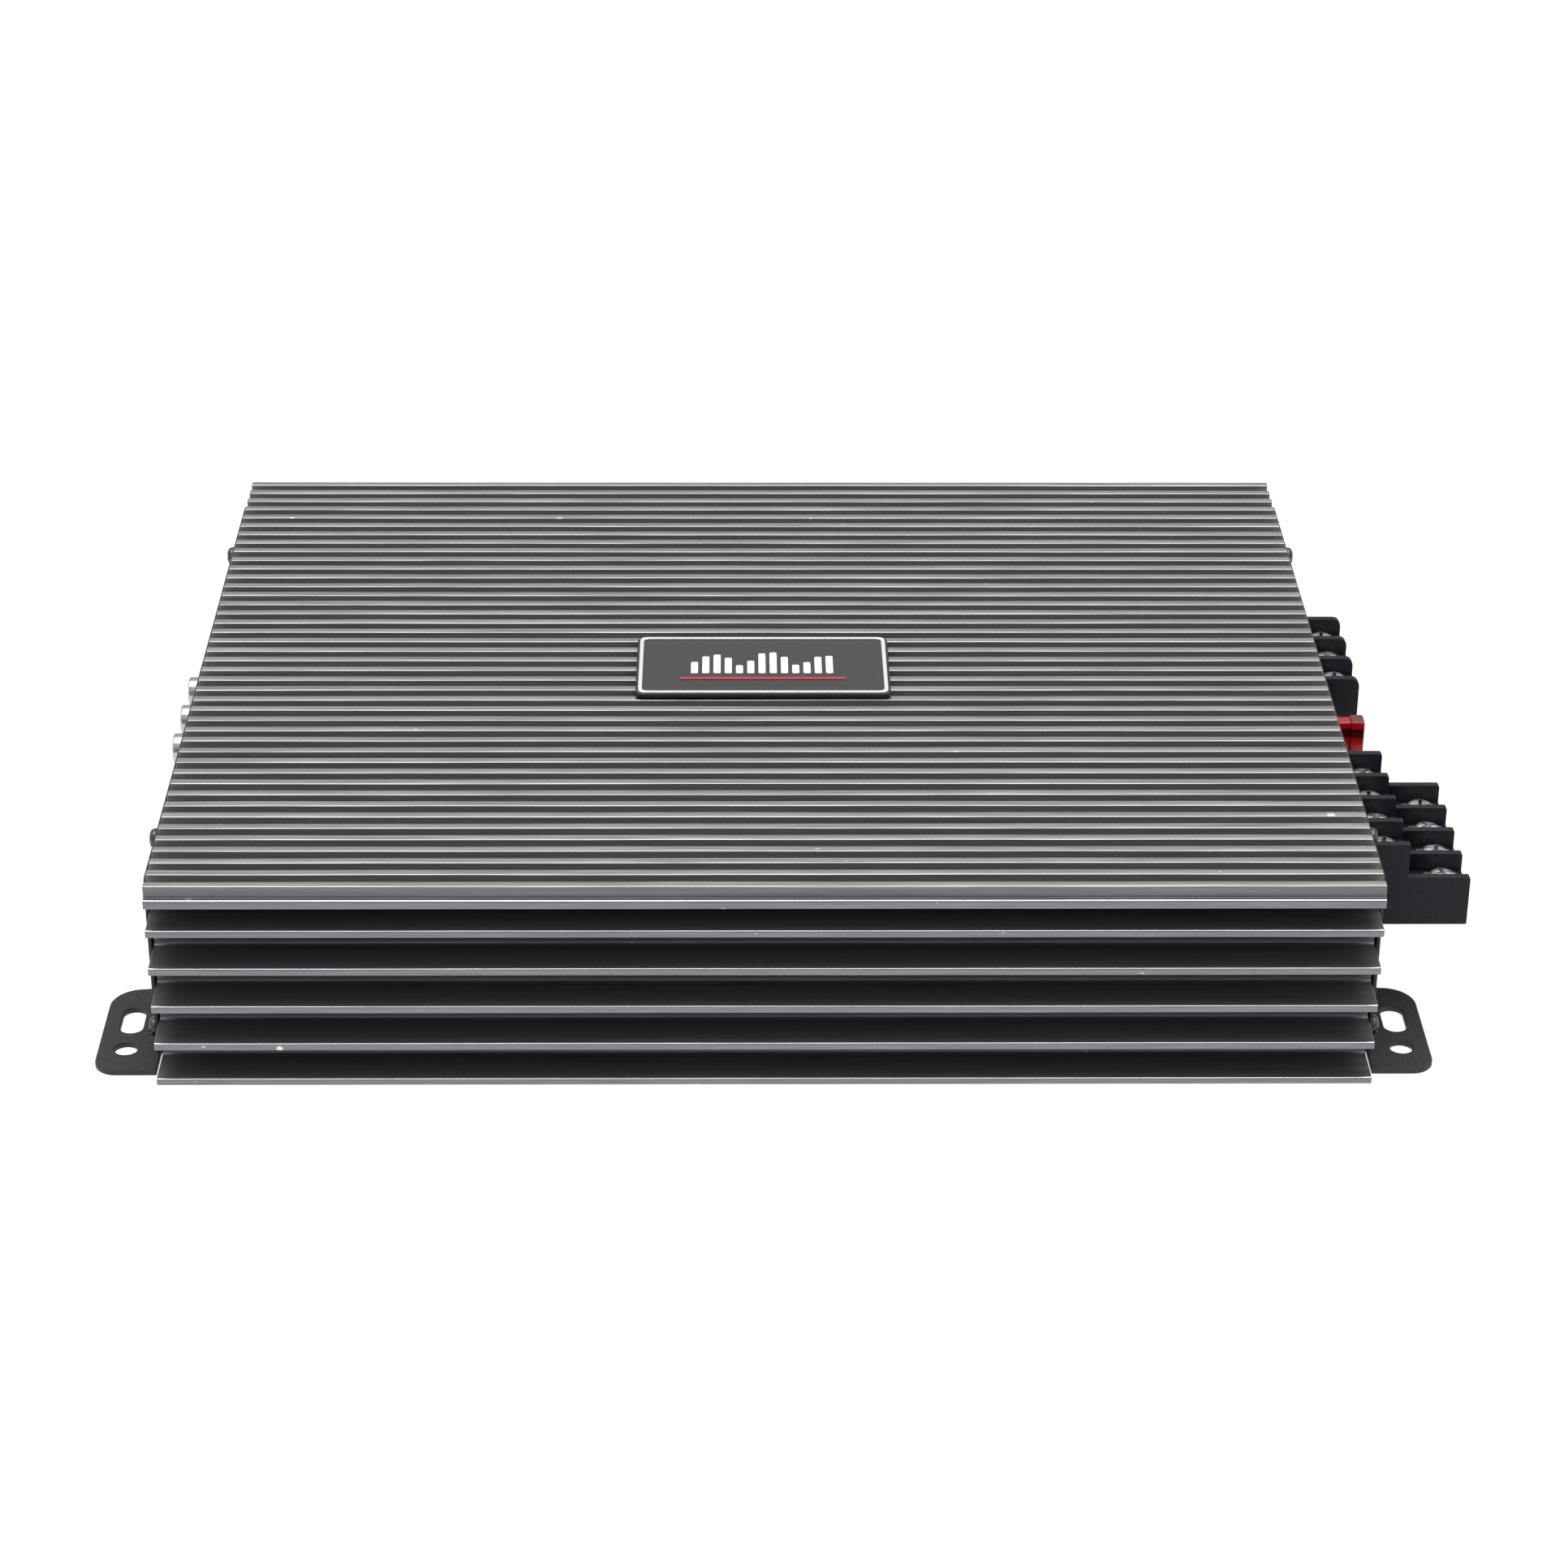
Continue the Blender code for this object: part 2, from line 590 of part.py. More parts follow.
def make_fuse(plastic, red, metal):
    thin = FUSE_BLADE[1] + GAP
    outer = LENGTH / 2 + PANEL_THICKNESS + 2 * GAP
    wide, tall = FUSE_HOLDER_HALF
    back = TERMINAL_INNER + FUSE_HOLDER_WALL
    holder = lattice(
        "fuse_holder",
        (TERMINAL_INNER, back, outer),
        about(FUSE_Y, thin, wide),
        sorted([FUSE_Z - tall, *fuse_blade_planes(GAP), FUSE_Z + tall]),
        lambda x, y, z: not (x > back and abs(y - FUSE_Y) < thin and in_blades(z, GAP)),
    )
    place("fuse_holder", holder, plastic)

    slide = bpy.data.objects.new("fuse_slide", None)
    slide.location = (FUSE_INNER * MM, FUSE_Y * MM, FUSE_Z * MM)
    bpy.context.collection.objects.link(slide)
    offset = (-FUSE_INNER, -FUSE_Y, -FUSE_Z)
    link = FUSE_POCKET_TOP - FUSE_LINK_HEIGHT

    def in_body(x, y, z):
        outside = abs(y - FUSE_Y) > FUSE_BODY_HALF[0] or abs(z - FUSE_Z) > FUSE_BODY_HALF[1]
        if outside:
            return x > FUSE_FLANGE
        bridge = x > link - GAP and abs(z - FUSE_Z) < FUSE_BLADE_CENTRE
        hollow = x < FUSE_POCKET_TOP and abs(y - FUSE_Y) < thin and (in_blades(z, GAP) or bridge)
        return not hollow

    body = lattice(
        "fuse_body",
        (FUSE_INNER, link - GAP, FUSE_FLANGE, FUSE_POCKET_TOP, FUSE_OUTER),
        about(FUSE_Y, thin, FUSE_BODY_HALF[0], FUSE_FLANGE_HALF[0]),
        sorted([*about(FUSE_Z, FUSE_BODY_HALF[1], FUSE_FLANGE_HALF[1]), *fuse_blade_planes(GAP)]),
        in_body,
    )
    place("fuse_body", body, red, at=offset, parent=slide)
    element = lattice(
        "fuse_element",
        (FUSE_BLADE_END, link, FUSE_POCKET_TOP - GAP),
        about(FUSE_Y, FUSE_BLADE[1]),
        fuse_blade_planes(0.0),
        lambda x, y, z: in_blades(z, 0.0) or x > link,
    )
    place("fuse_element", element, metal, at=offset, parent=slide)


def fuse_cutout():
    wide, tall = (half + FUSE_CUTOUT_MARGIN for half in FUSE_HOLDER_HALF)
    return rectangle((FUSE_Y - wide, FUSE_Z - tall), (FUSE_Y + wide, FUSE_Z + tall))


def make_jacks(plastic, nickel):
    beside, above = JACK_BLOCK_MARGIN
    xs = (-JACK_BASE + GAP, -JACK_BLOCK_STEP, -JACK_BLOCK_INNER)
    ys = (JACK_YS[0] - beside, JACK_YS[-1] + beside)
    zs = (JACK_ZS[1] - JACK_BLOCK_DROP, ON_BOARD, JACK_ZS[0] + above)
    housing = lattice("jack_block", xs, ys, zs, lambda x, y, z: z > ON_BOARD or x < -JACK_BLOCK_STEP)
    place("jack_block", housing, plastic)
    length = JACK_TIP - JACK_BASE
    profile = (
        (0.0, length - JACK_BORE_DEPTH),
        (JACK_BORE, length - JACK_BORE_DEPTH),
        (JACK_BORE, length - JACK_RIM_DEPTH),
        (JACK_RADIUS - 1.05, length - JACK_RIM_DEPTH),
        (JACK_RADIUS - 0.85, length),
        (JACK_RADIUS - 0.3, length),
        (JACK_RADIUS, length - 0.3),
        (JACK_RADIUS, 0.0),
        (0.0, 0.0),
    )
    mesh = turned("jack_shell", profile, 16)
    number = 1
    for z in JACK_ZS:
        for y in JACK_YS:
            place(f"jack_shell_{number}", mesh, nickel, at=(-JACK_BASE, y, z), turn=(0.0, -90.0, 0.0))
            number += 1


def make_controls(plastic, knob_finish, grey):
    reach = KNOB_TIP - KNOB_BACK
    knob = turned(
        "knob",
        (
            (0.0, reach),
            (KNOB_RADIUS - KNOB_CHAMFER, reach),
            (KNOB_RADIUS, reach - KNOB_CHAMFER),
            (KNOB_RADIUS, 0.0),
            (KNOB_SHAFT, 0.0),
            (KNOB_SHAFT, -KNOB_SHAFT_LENGTH),
            (0.0, -KNOB_SHAFT_LENGTH),
        ),
        20,
    )
    low = (-POINTER_HALF_WIDTH, POINTER_START, reach - KNOB_CHAMFER)
    high = (POINTER_HALF_WIDTH, KNOB_RADIUS + 1.0, reach + 1.0)
    knob = cut(knob, block("pointer_groove", low, high))
    names = ("level", "lowpass", "bass")
    for name, y in zip(names, KNOB_YS):
        place(f"{name}_knob", knob, knob_finish, at=(-KNOB_BACK, y, KNOB_Z), turn=(0.0, -90.0, 0.0))
        low = (y - POTENTIOMETER_HALF, ON_BOARD)
        high = (y + POTENTIOMETER_HALF, KNOB_Z + POTENTIOMETER_ABOVE)
        loops = [rectangle(low, high), circle((y, KNOB_Z), KNOB_SHAFT + GAP)]
        mesh = extruded(f"{name}_potentiometer", loops, -JACK_BASE, -POTENTIOMETER_INNER)
        along_x(f"{name}_potentiometer", mesh, grey)
    for number, y in enumerate(LEVER_YS, 1):
        wide, tall = (size / 2 for size in LEVER_SIZE)
        low = LEVER_MIDDLE - LEVER_TIP
        lever = block("filter_switch_lever", (low, -wide, -tall), (low + LEVER_LENGTH, wide, tall))
        place(f"filter_switch_lever_{number}", lever, knob_finish, at=(-LEVER_MIDDLE, y, LEVER_Z))
        half_width, half_height = SWITCH_HALF
        low = (y - half_width, LEVER_Z - half_height)
        high = (y + half_width, LEVER_Z + half_height)
        loops = [rectangle(low, high), lever_slot(y)]
        outer, inner = SWITCH_ENDS
        mesh = extruded(f"filter_switch_body_{number}", loops, -outer, -inner)
        along_x(f"filter_switch_body_{number}", mesh, grey)


def lever_slot(y):
    wide = LEVER_SIZE[0] / 2 + LEVER_TRAVEL + 0.4
    tall = LEVER_SIZE[1] / 2 + 0.5
    return rectangle((y - wide, LEVER_Z - tall), (y + wide, LEVER_Z + tall))


def input_cutouts():
    loops = [circle((y, z), JACK_RADIUS + 0.4) for y in JACK_YS for z in JACK_ZS]
    loops += [circle((y, KNOB_Z), KNOB_SHAFT + 0.6) for y in KNOB_YS]
    loops += [lever_slot(y) for y in LEVER_YS]
    return loops + [circle((y, LAMP_Z), LAMP_RADIUS + 0.4, 12) for y in LAMP_YS]


def make_lamps(green, red):
    dome = ((0.0, 5.8), (0.75, 5.6), (1.3, 5.1), (LAMP_RADIUS, 4.4), (LAMP_RADIUS, 0.0), (0.0, 0.0))
    for name, y, finish in zip(("power_lamp", "protection_lamp"), LAMP_YS, (green, red)):
        place(name, turned(name, dome), finish, at=(-LAMP_BASE, y, LAMP_Z), turn=(0.0, -90.0, 0.0))


def make_badge(dark, silver):
    centre = (0.0, BADGE_CENTRE_Y)
    outline = rounded_rectangle(centre, BADGE_HALF, BADGE_CORNER)
    plate = extruded("badge_plate", [outline], BADGE_BOTTOM, BADGE_TOP)
    place("badge_plate", plate, dark)
    sizes = [[half - inset for half in BADGE_HALF] for inset in BADGE_FRAME_INSET]
    rims = [rounded_rectangle(centre, half, BADGE_CORNER - 0.1) for half in sizes]
    low = BADGE_TOP + 0.1
    place("badge_frame", extruded("badge_frame", rims, low, low + BADGE_FRAME_HEIGHT), silver)


def ring_core(name, inner, outer, height, corner=CORE_CORNER):
    """A wound ring core: a square section with cut corners turned around Z, hollow in the middle."""
    bm = bmesh.new()
    section = [
        (outer - corner, height),
        (outer, height - corner),
        (outer, corner),
        (outer - corner, 0.0),
        (inner + corner, 0.0),
        (inner, corner),
        (inner, height - corner),
        (inner + corner, height),
    ]
    corners = [bm.verts.new((radius, 0.0, z)) for radius, z in section]
    edges = [bm.edges.new((a, b)) for a, b in zip(corners, corners[1:] + corners[:1])]
    bmesh.ops.spin(bm, geom=edges, axis=(0.0, 0.0, 1.0), cent=(0.0, 0.0, 0.0), steps=18, angle=math.tau)
    bmesh.ops.remove_doubles(bm, verts=bm.verts, dist=0.001)
    return smooth(mesh_of(bm, name))


def make_inner_parts(board_green, copper, sleeve, steel):
    half = (BOARD_HALF_LENGTH, BOARD_HALF_WIDTH)
    beside = JACK_BLOCK_MARGIN[0] + 0.5
    near, far, deep = JACK_YS[0] - beside, JACK_YS[-1] + beside, -JACK_BLOCK_STEP + 0.4
    outline = [(-half[0], -half[1]), (half[0], -half[1]), half, (-half[0], half[1])]
    outline += [(-half[0], far), (deep, far), (deep, near), (-half[0], near)]
    place("main_board", extruded("main_board", [outline], BOARD_BOTTOM, BOARD_TOP), board_green)
    for name, size, at in (
        ("power_transformer", TRANSFORMER, TRANSFORMER_AT),
        ("filter_choke", CHOKE, CHOKE_AT),
    ):
        place(name, ring_core(name, *size), copper, at=(*at, ON_BOARD))
    wide, tall = CAPACITOR
    ends = ((wide, tall - 1.0), (wide, 1.0))
    can = ((0.0, tall), (wide - 1.0, tall), *ends, (wide - 1.0, 0.0), (0.0, 0.0))
    mesh = turned("capacitor", can, 20)
    for number, y in enumerate(CAPACITOR_YS, 1):
        place(f"storage_capacitor_{number}", mesh, sleeve, at=(CAPACITOR_X, y, ON_BOARD))
    web, shelf = CLAMP_OUTER - CLAMP_THICKNESS, CLAMP_TOP - CLAMP_THICKNESS
    section = [
        (CLAMP_OUTER, CLAMP_BOTTOM),
        (CLAMP_OUTER, CLAMP_TOP),
        (CLAMP_INNER, CLAMP_TOP),
        (CLAMP_INNER, shelf),
        (web, shelf),
        (web, CLAMP_BOTTOM),
    ]
    for word, side in (("front", -1), ("rear", 1)):
        name = f"transistor_clamp_{word}"
        along_x(name, extruded(name, [[(side * y, z) for y, z in section]], *CLAMP_ENDS), steel)


def main():
    clear_scene()
    aluminium = material("brushed_aluminium", (0.46, 0.46, 0.48), 0.38, 1.0)
    black_steel = material("black_powder_coat", (0.03, 0.03, 0.032), 0.62)
    panel_black = material("panel_black", (0.02, 0.02, 0.022), 0.5)
    nickel = material("nickel", (0.72, 0.69, 0.64), 0.22, 1.0)
    plastic = material("black_plastic", (0.022, 0.024, 0.03), 0.45)
    knob_finish = material("knob_plastic", (0.03, 0.03, 0.03), 0.4)
    badge_dark = material("badge_dark", (0.02, 0.022, 0.025), 0.3)
    badge_silver = material("badge_silver", (0.8, 0.8, 0.82), 0.25, 1.0)
    fuse_red = material("fuse_red", (0.75, 0.01, 0.015), 0.12, transmission=0.6)
    lamp_green = material("lamp_green", (0.05, 0.6, 0.12), 0.15, transmission=0.5)
    lamp_red = material("lamp_red", (0.7, 0.03, 0.02), 0.15, transmission=0.5)
    board_green = material("board_green", (0.02, 0.16, 0.06), 0.4)
    copper = material("enamelled_copper", (0.62, 0.25, 0.1), 0.3, 1.0)
    sleeve = material("capacitor_sleeve", (0.02, 0.03, 0.09), 0.35)
    grey = material("grey_steel", (0.45, 0.45, 0.46), 0.4, 1.0)

    make_heatsink(aluminium)
    make_bottom_plate(black_steel)
    make_panel("input_panel", -1, input_cutouts(), panel_black)
    power_cutouts = [
        terminal_cutout(SPEAKER_FIRST_Y, SPEAKER_PITCH, SPEAKER_CELLS),
        terminal_cutout(POWER_FIRST_Y, POWER_PITCH, POWER_CELLS),
        fuse_cutout(),
    ]
    make_panel("power_panel", 1, power_cutouts, panel_black)
    make_panel_screws(panel_screw_mesh(), nickel)
    make_plate_screws(plate_screw_mesh(), nickel)
    make_terminals(plastic, terminal_screw_mesh(), nickel)
    make_fuse(plastic, fuse_red, nickel)
    make_jacks(plastic, nickel)
    make_controls(plastic, knob_finish, grey)
    make_lamps(lamp_green, lamp_red)
    make_badge(badge_dark, badge_silver)
    make_inner_parts(board_green, copper, sleeve, grey)


main()
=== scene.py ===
"""Looks of the car amplifier: fine meshes, procedural materials, floor, light and camera.

Lengths are in millimetres until MM turns them into the frame's metres. X runs along the heat sink.
"""

import json
import math

import bmesh
import bpy
from mathutils import Matrix, Vector, noise

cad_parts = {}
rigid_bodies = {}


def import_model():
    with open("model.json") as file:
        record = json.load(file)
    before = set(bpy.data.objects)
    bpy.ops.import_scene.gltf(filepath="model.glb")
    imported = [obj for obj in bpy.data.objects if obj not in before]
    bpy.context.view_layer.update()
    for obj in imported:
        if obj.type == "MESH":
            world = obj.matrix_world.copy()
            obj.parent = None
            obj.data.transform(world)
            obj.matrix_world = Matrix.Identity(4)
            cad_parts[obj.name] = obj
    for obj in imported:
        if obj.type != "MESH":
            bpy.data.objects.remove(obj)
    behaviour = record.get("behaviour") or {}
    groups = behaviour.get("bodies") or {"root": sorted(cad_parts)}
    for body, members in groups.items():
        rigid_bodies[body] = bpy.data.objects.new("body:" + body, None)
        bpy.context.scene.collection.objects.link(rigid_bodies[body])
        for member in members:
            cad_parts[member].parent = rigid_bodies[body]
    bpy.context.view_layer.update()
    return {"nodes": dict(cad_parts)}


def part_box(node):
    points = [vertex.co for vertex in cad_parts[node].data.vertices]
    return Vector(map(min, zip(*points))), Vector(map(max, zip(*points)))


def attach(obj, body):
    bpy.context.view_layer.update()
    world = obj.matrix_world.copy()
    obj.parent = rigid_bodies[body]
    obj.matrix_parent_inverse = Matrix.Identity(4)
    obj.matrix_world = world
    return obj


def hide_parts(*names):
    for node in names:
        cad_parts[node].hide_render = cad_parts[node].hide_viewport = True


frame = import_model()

MM = 0.001
nodes = frame["nodes"]


def limits(node):
    """A CAD node's lowest and highest corners, in millimetres."""
    return [[round(value / MM, 3) for value in corner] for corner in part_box(node)]


def middle(node):
    low, high = limits(node)
    return [(a + b) / 2 for a, b in zip(low, high)]


# Heat sink, as in the CAD model but with slightly narrower ribs and with rounded edges
SHELL_END, FIN_TIP, HEIGHT = limits("heatsink_shell")[1]
FIN_TOPS = (52.1, 43.75, 33.15, 22.5, 11.95, 1.8)
FIN_THICKNESS = (2.35, 1.95, 1.95, 1.95, 1.95, 1.95)
FIRST_FIN_ROUND = 0.52
FIN_ROUND = 0.42
FIN_ROOT = 1.5
WALL = (109.5, 112.0)
ROOF = 47.0
RIB_COUNT = 42
RIB_FIELD = 122.6
RIB_WIDTH = 2.6
RIB_HEIGHT = 4.0
RIB_CROWN = 0.05
EDGE_ROUND = 0.26
RIB_PITCH = (2 * RIB_FIELD - RIB_WIDTH) / (RIB_COUNT - 1)
PANEL_SCREWS = ((-85.2, 48.2), (85.2, 48.2), (-107.7, 7.2), (107.7, 7.2))
PANEL_SCREW_BORE = 1.4
STATIONS = 40

# Terminal blocks: first wall, pitch and cells along Y, then each step's end, floor, wall top and screw place
BARRIER = 2.0
BLOCK_FACE = 151.6
SPEAKER = (-90.0, 12.36, 4, ((161.2, 43.7, 48.7, 155.4), (176.9, 34.6, 39.4, 171.2)), 0.7)
POWER = (4.2, 12.56, 3, ((161.6, 43.7, 48.5, 155.6),), 2.4)
BLOCK_BOTTOM = 26.0
BLOCK_BACK = (141.0, 147.5, 44.2)
BLOCK_FOOT = 14.8

# Fuse: where its flange starts, and its blade pockets' half thickness, half width and place from the middle
FUSE_FLANGE = 157.0
FUSE_POCKET = (0.65, 2.9, 5.9)
FUSE_POCKET_TOP = 158.2

# Input side
JACK_YS = (0.8, 18.1, 35.4)
JACK_ZS = (29.3, 15.3)
JACK_TIP, JACK_BASE = 159.5, 147.9
JACK_HOUSING_STEP = (-143.8, 14.6)
LAMPS = ("power_lamp", "protection_lamp")
KNOBS = ("level", "lowpass", "bass")

# Cutouts in the end panels: radii, and half sizes of the windows
PANEL_SCREW_HOLE = 1.7
JACK_HOLE = 4.55
KNOB_HOLE = 3.5
LAMP_HOLE = 1.9
LEVER_WINDOW = (3.9, 1.7)
FUSE_WINDOW = (5.0, 11.3)

# Cross-recess screws
TERMINAL_SCREW = {"radius": 3.6, "height": 2.3, "thread": 1.7, "length": 4.6, "reach": 2.5, "slot": 0.46}
PANEL_SCREW = {"radius": 2.6, "height": 2.0, "thread": 1.1, "length": 9.0, "reach": 1.6, "slot": 0.42}


# ---------------------------------------------------------------- shapes

def arc(centre, radius, start, end, steps):
    """Points along a circle from one angle to another, in degrees."""
    angles = [math.radians(start + (end - start) * i / steps) for i in range(steps + 1)]
    return [(centre[0] + radius * math.cos(a), centre[1] + radius * math.sin(a)) for a in angles]


def circle(centre, radius, steps=32):
    return arc(centre, radius, 0.0, 360.0 * (steps - 1) / steps, steps - 1)


def rectangle(low, high):
    return [(low[0], low[1]), (high[0], low[1]), (high[0], high[1]), (low[0], high[1])]


def rounded(corners, steps=3):
    """A closed outline from corners of (x, y, radius). A corner's curve starts its radius away."""
    points = []
    for index, (x, y, radius) in enumerate(corners):
        if radius == 0.0:
            points.append((x, y))
            continue
        corner = Vector((x, y))
        ends = []
        for other in (corners[index - 1], corners[(index + 1) % len(corners)]):
            ends.append(corner + (Vector(other[:2]) - corner).normalized() * radius)
        for step in range(steps + 1):
            t = step / steps
            point = ends[0] * (1 - t) ** 2 + corner * 2 * t * (1 - t) + ends[1] * t * t
            points.append((point.x, point.y))
    return points


def rounded_box(low, high, radius, steps=5):
    return rounded([(x, y, radius) for x, y in rectangle(low, high)], steps)


def area(loop):
    return sum(a[0] * b[1] - b[0] * a[1] for a, b in zip(loop, loop[1:] + loop[:1])) / 2


def moved_in(loop, distance):
    """The loop moved into the material on its left by a distance."""
    if distance == 0.0:
        return loop
    points = []
    for before, point, after in zip(loop[-1:] + loop[:-1], loop, loop[1:] + loop[:1]):
        first = (Vector(point) - Vector(before)).normalized()
        second = (Vector(after) - Vector(point)).normalized()
        along = (first + second).normalized()
        reach = distance / max(0.5, along.dot(first))
        points.append((point[0] - along.y * reach, point[1] + along.x * reach))
    return points


ALONG = {
    "X": lambda u, v, h: (h, u, v),
    "Y": lambda u, v, h: (u, h, v),
    "Z": lambda u, v, h: (u, v, h),
}


def sweep(loops, stations, axis="Z", warp=None):
    """A closed solid: an outline and its holes, carried through stations of (height, inset)."""
    bm = bmesh.new()
    ends = ([], [])
    for number, loop in enumerate(loops):
        if (area(loop) > 0) == bool(number):
            loop = loop[::-1]
        rings = []
        for height, inset in stations:
            ring = []
            for u, v in moved_in(loop, inset):
                if warp:
                    u, v = warp(u, v, height)
                ring.append(bm.verts.new(ALONG[axis](u, v, height)))
            rings.append(ring)
        count = len(loop)
        for lower, upper in zip(rings, rings[1:]):
            for i in range(count):
                j = (i + 1) % count
                bm.faces.new((lower[i], lower[j], upper[j], upper[i]))
        for end, ring in zip(ends, (rings[0], rings[-1])):
            end.extend(bm.edges.get((ring[i], ring[(i + 1) % count])) for i in range(count))
    for end in ends:
        bmesh.ops.triangle_fill(bm, use_beauty=True, edges=end)
    return bm


def slab(loops, low, high, chamfer, axis="Z"):
    """A plate whose edges are broken by a small chamfer."""
    stations = ((low, chamfer), (low + chamfer, 0.0), (high - chamfer, 0.0), (high, chamfer))
    return sweep(loops, stations, axis)


def prism(loop, low, high, axis="Z"):
    return sweep([loop], ((low, 0.0), (high, 0.0)), axis)


def turned(profile, segments=40, ripple=None):
    """A profile of (radius, height) turned around Z. ripple(angle, radius, height) gives a new radius."""
    bm = bmesh.new()
    rings = []
    for radius, height in profile:
        if radius == 0.0:
            rings.append([bm.verts.new((0.0, 0.0, height))] * segments)
            continue
        ring = []
        for i in range(segments):
            angle = math.tau * i / segments
            reach = ripple(angle, radius, height) if ripple else radius
            ring.append(bm.verts.new((reach * math.cos(angle), reach * math.sin(angle), height)))
        rings.append(ring)
    for upper, lower in zip(rings, rings[1:]):
        for i in range(segments):
            j = (i + 1) % segments
            bm.faces.new(list(dict.fromkeys((upper[i], lower[i], lower[j], upper[j]))))
    return bm


def moved(bm, at=(0.0, 0.0, 0.0), turn=None):
    if turn:
        bm.transform(turn.to_4x4())
    bmesh.ops.translate(bm, vec=at, verts=bm.verts)
    return bm


def joined(*parts):
    """One bmesh that holds the separate solids of several."""
    whole = bmesh.new()
    for part in parts:
        scratch = bpy.data.meshes.new("scratch")
        part.to_mesh(scratch)
        part.free()
        whole.from_mesh(scratch)
        bpy.data.meshes.remove(scratch)
    return whole


def mesh_of(bm, name, sharp=40.0):
    """A smooth-shaded mesh in metres from a bmesh in millimetres."""
    bmesh.ops.recalc_face_normals(bm, faces=bm.faces)
    bmesh.ops.scale(bm, vec=(MM, MM, MM), verts=bm.verts)
    mesh = bpy.data.meshes.new(name)
    bm.to_mesh(mesh)
    bm.free()
    mesh.shade_smooth()
    mesh.set_sharp_from_angle(angle=math.radians(sharp))
    return mesh


def carved(body, cutters, name, edge=0.0, segments=2):
    """The body with the cutters taken out one after another, and its sharp edges rounded by edge."""
    made = mesh_of(body, name)
    for bm in cutters:
        made = evaluated(made, cutter=mesh_of(bm, "cutter"))
    if edge:
        made = evaluated(made, edge=edge, segments=segments)
    made.name = name
    made.shade_smooth()
    made.set_sharp_from_angle(angle=math.radians(40.0))
    return made


def evaluated(mesh, cutter=None, edge=0.0, segments=2):
    """The mesh after one modifier: a Boolean difference or a Bevel of its sharp edges."""
    body = bpy.data.objects.new("body", mesh)
    bpy.context.collection.objects.link(body)
    tool = None
    if cutter:
        tool = bpy.data.objects.new("tool", cutter)
        bpy.context.collection.objects.link(tool)
        modifier = body.modifiers.new("cut", "BOOLEAN")
        modifier.object = tool
        modifier.operation = "DIFFERENCE"
    else:
        modifier = body.modifiers.new("edges", "BEVEL")
        modifier.width = edge * MM
        modifier.segments = segments
        modifier.limit_method = "ANGLE"
        modifier.angle_limit = math.radians(35.0)
    graph = bpy.context.evaluated_depsgraph_get()
    made = bpy.data.meshes.new_from_object(body.evaluated_get(graph))
    for obj in (body, tool):
        if obj:
            bpy.data.objects.remove(obj, do_unlink=True)
    return made


def add(name, mesh, body, finish, replaces=(), at=None):
    """A piece that rides on a body, takes the given finish when its mesh has none, and stands for CAD nodes.
    """
    if isinstance(mesh, bmesh.types.BMesh):
        mesh = mesh_of(mesh, name)
    if not mesh.materials:
        mesh.materials.append(finish)
    piece = bpy.data.objects.new(name, mesh)
    bpy.context.collection.objects.link(piece)
    if at:
        piece.location = [value * MM for value in at]
    even = piece.modifiers.new("even_shading", "WEIGHTED_NORMAL")
    even.keep_sharp = True
    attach(piece, body)
    if replaces:
        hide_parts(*replaces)
    return piece


# ---------------------------------------------------------------- materials

def add_node(tree, kind, inputs=None, **settings):
    node = tree.nodes.new("ShaderNode" + kind)
    for key, value in settings.items():
        setattr(node, key, value)
    for key, value in (inputs or {}).items():
        if isinstance(value, bpy.types.NodeSocket):
            tree.links.new(value, node.inputs[key])
        else:
            node.inputs[key].default_value = value
    return node


def ramp(tree, value, start, end, low=0.0, high=1.0):
    """A value that goes from low to high while another goes from start to end."""
    levels = {"Value": value, "From Min": start, "From Max": end, "To Min": low, "To Max": high}
    return add_node(tree, "MapRange", levels).outputs[0]


def noise_of(tree, where, size, stretch=(1.0, 1.0, 1.0), detail=3.0, spread=0.16, seed=0.0):
    """Noise from 0 to 1 whose grain is size millimetres, longer along an axis by that axis's stretch."""
    scale = [1.0 / (size * MM * times) for times in stretch]
    mapped = add_node(tree, "Mapping", {"Vector": where, "Scale": scale, "Location": (seed, seed, seed)})
    grain = add_node(tree, "TexNoise", {"Vector": mapped.outputs[0], "Scale": 1.0, "Detail": detail})
    return ramp(tree, grain.outputs[0], 0.5 - spread, 0.5 + spread)


def blend_of(tree, factor, first, second):
    """A colour between two, each an (r, g, b) or a socket."""
    mix = add_node(tree, "Mix", data_type="RGBA")
    for socket, value in zip((mix.inputs[0], mix.inputs[6], mix.inputs[7]), (factor, first, second)):
        if isinstance(value, bpy.types.NodeSocket):
            tree.links.new(value, socket)
        else:
            socket.default_value = (*value, 1.0) if isinstance(value, tuple) else value
    return mix.outputs[2]


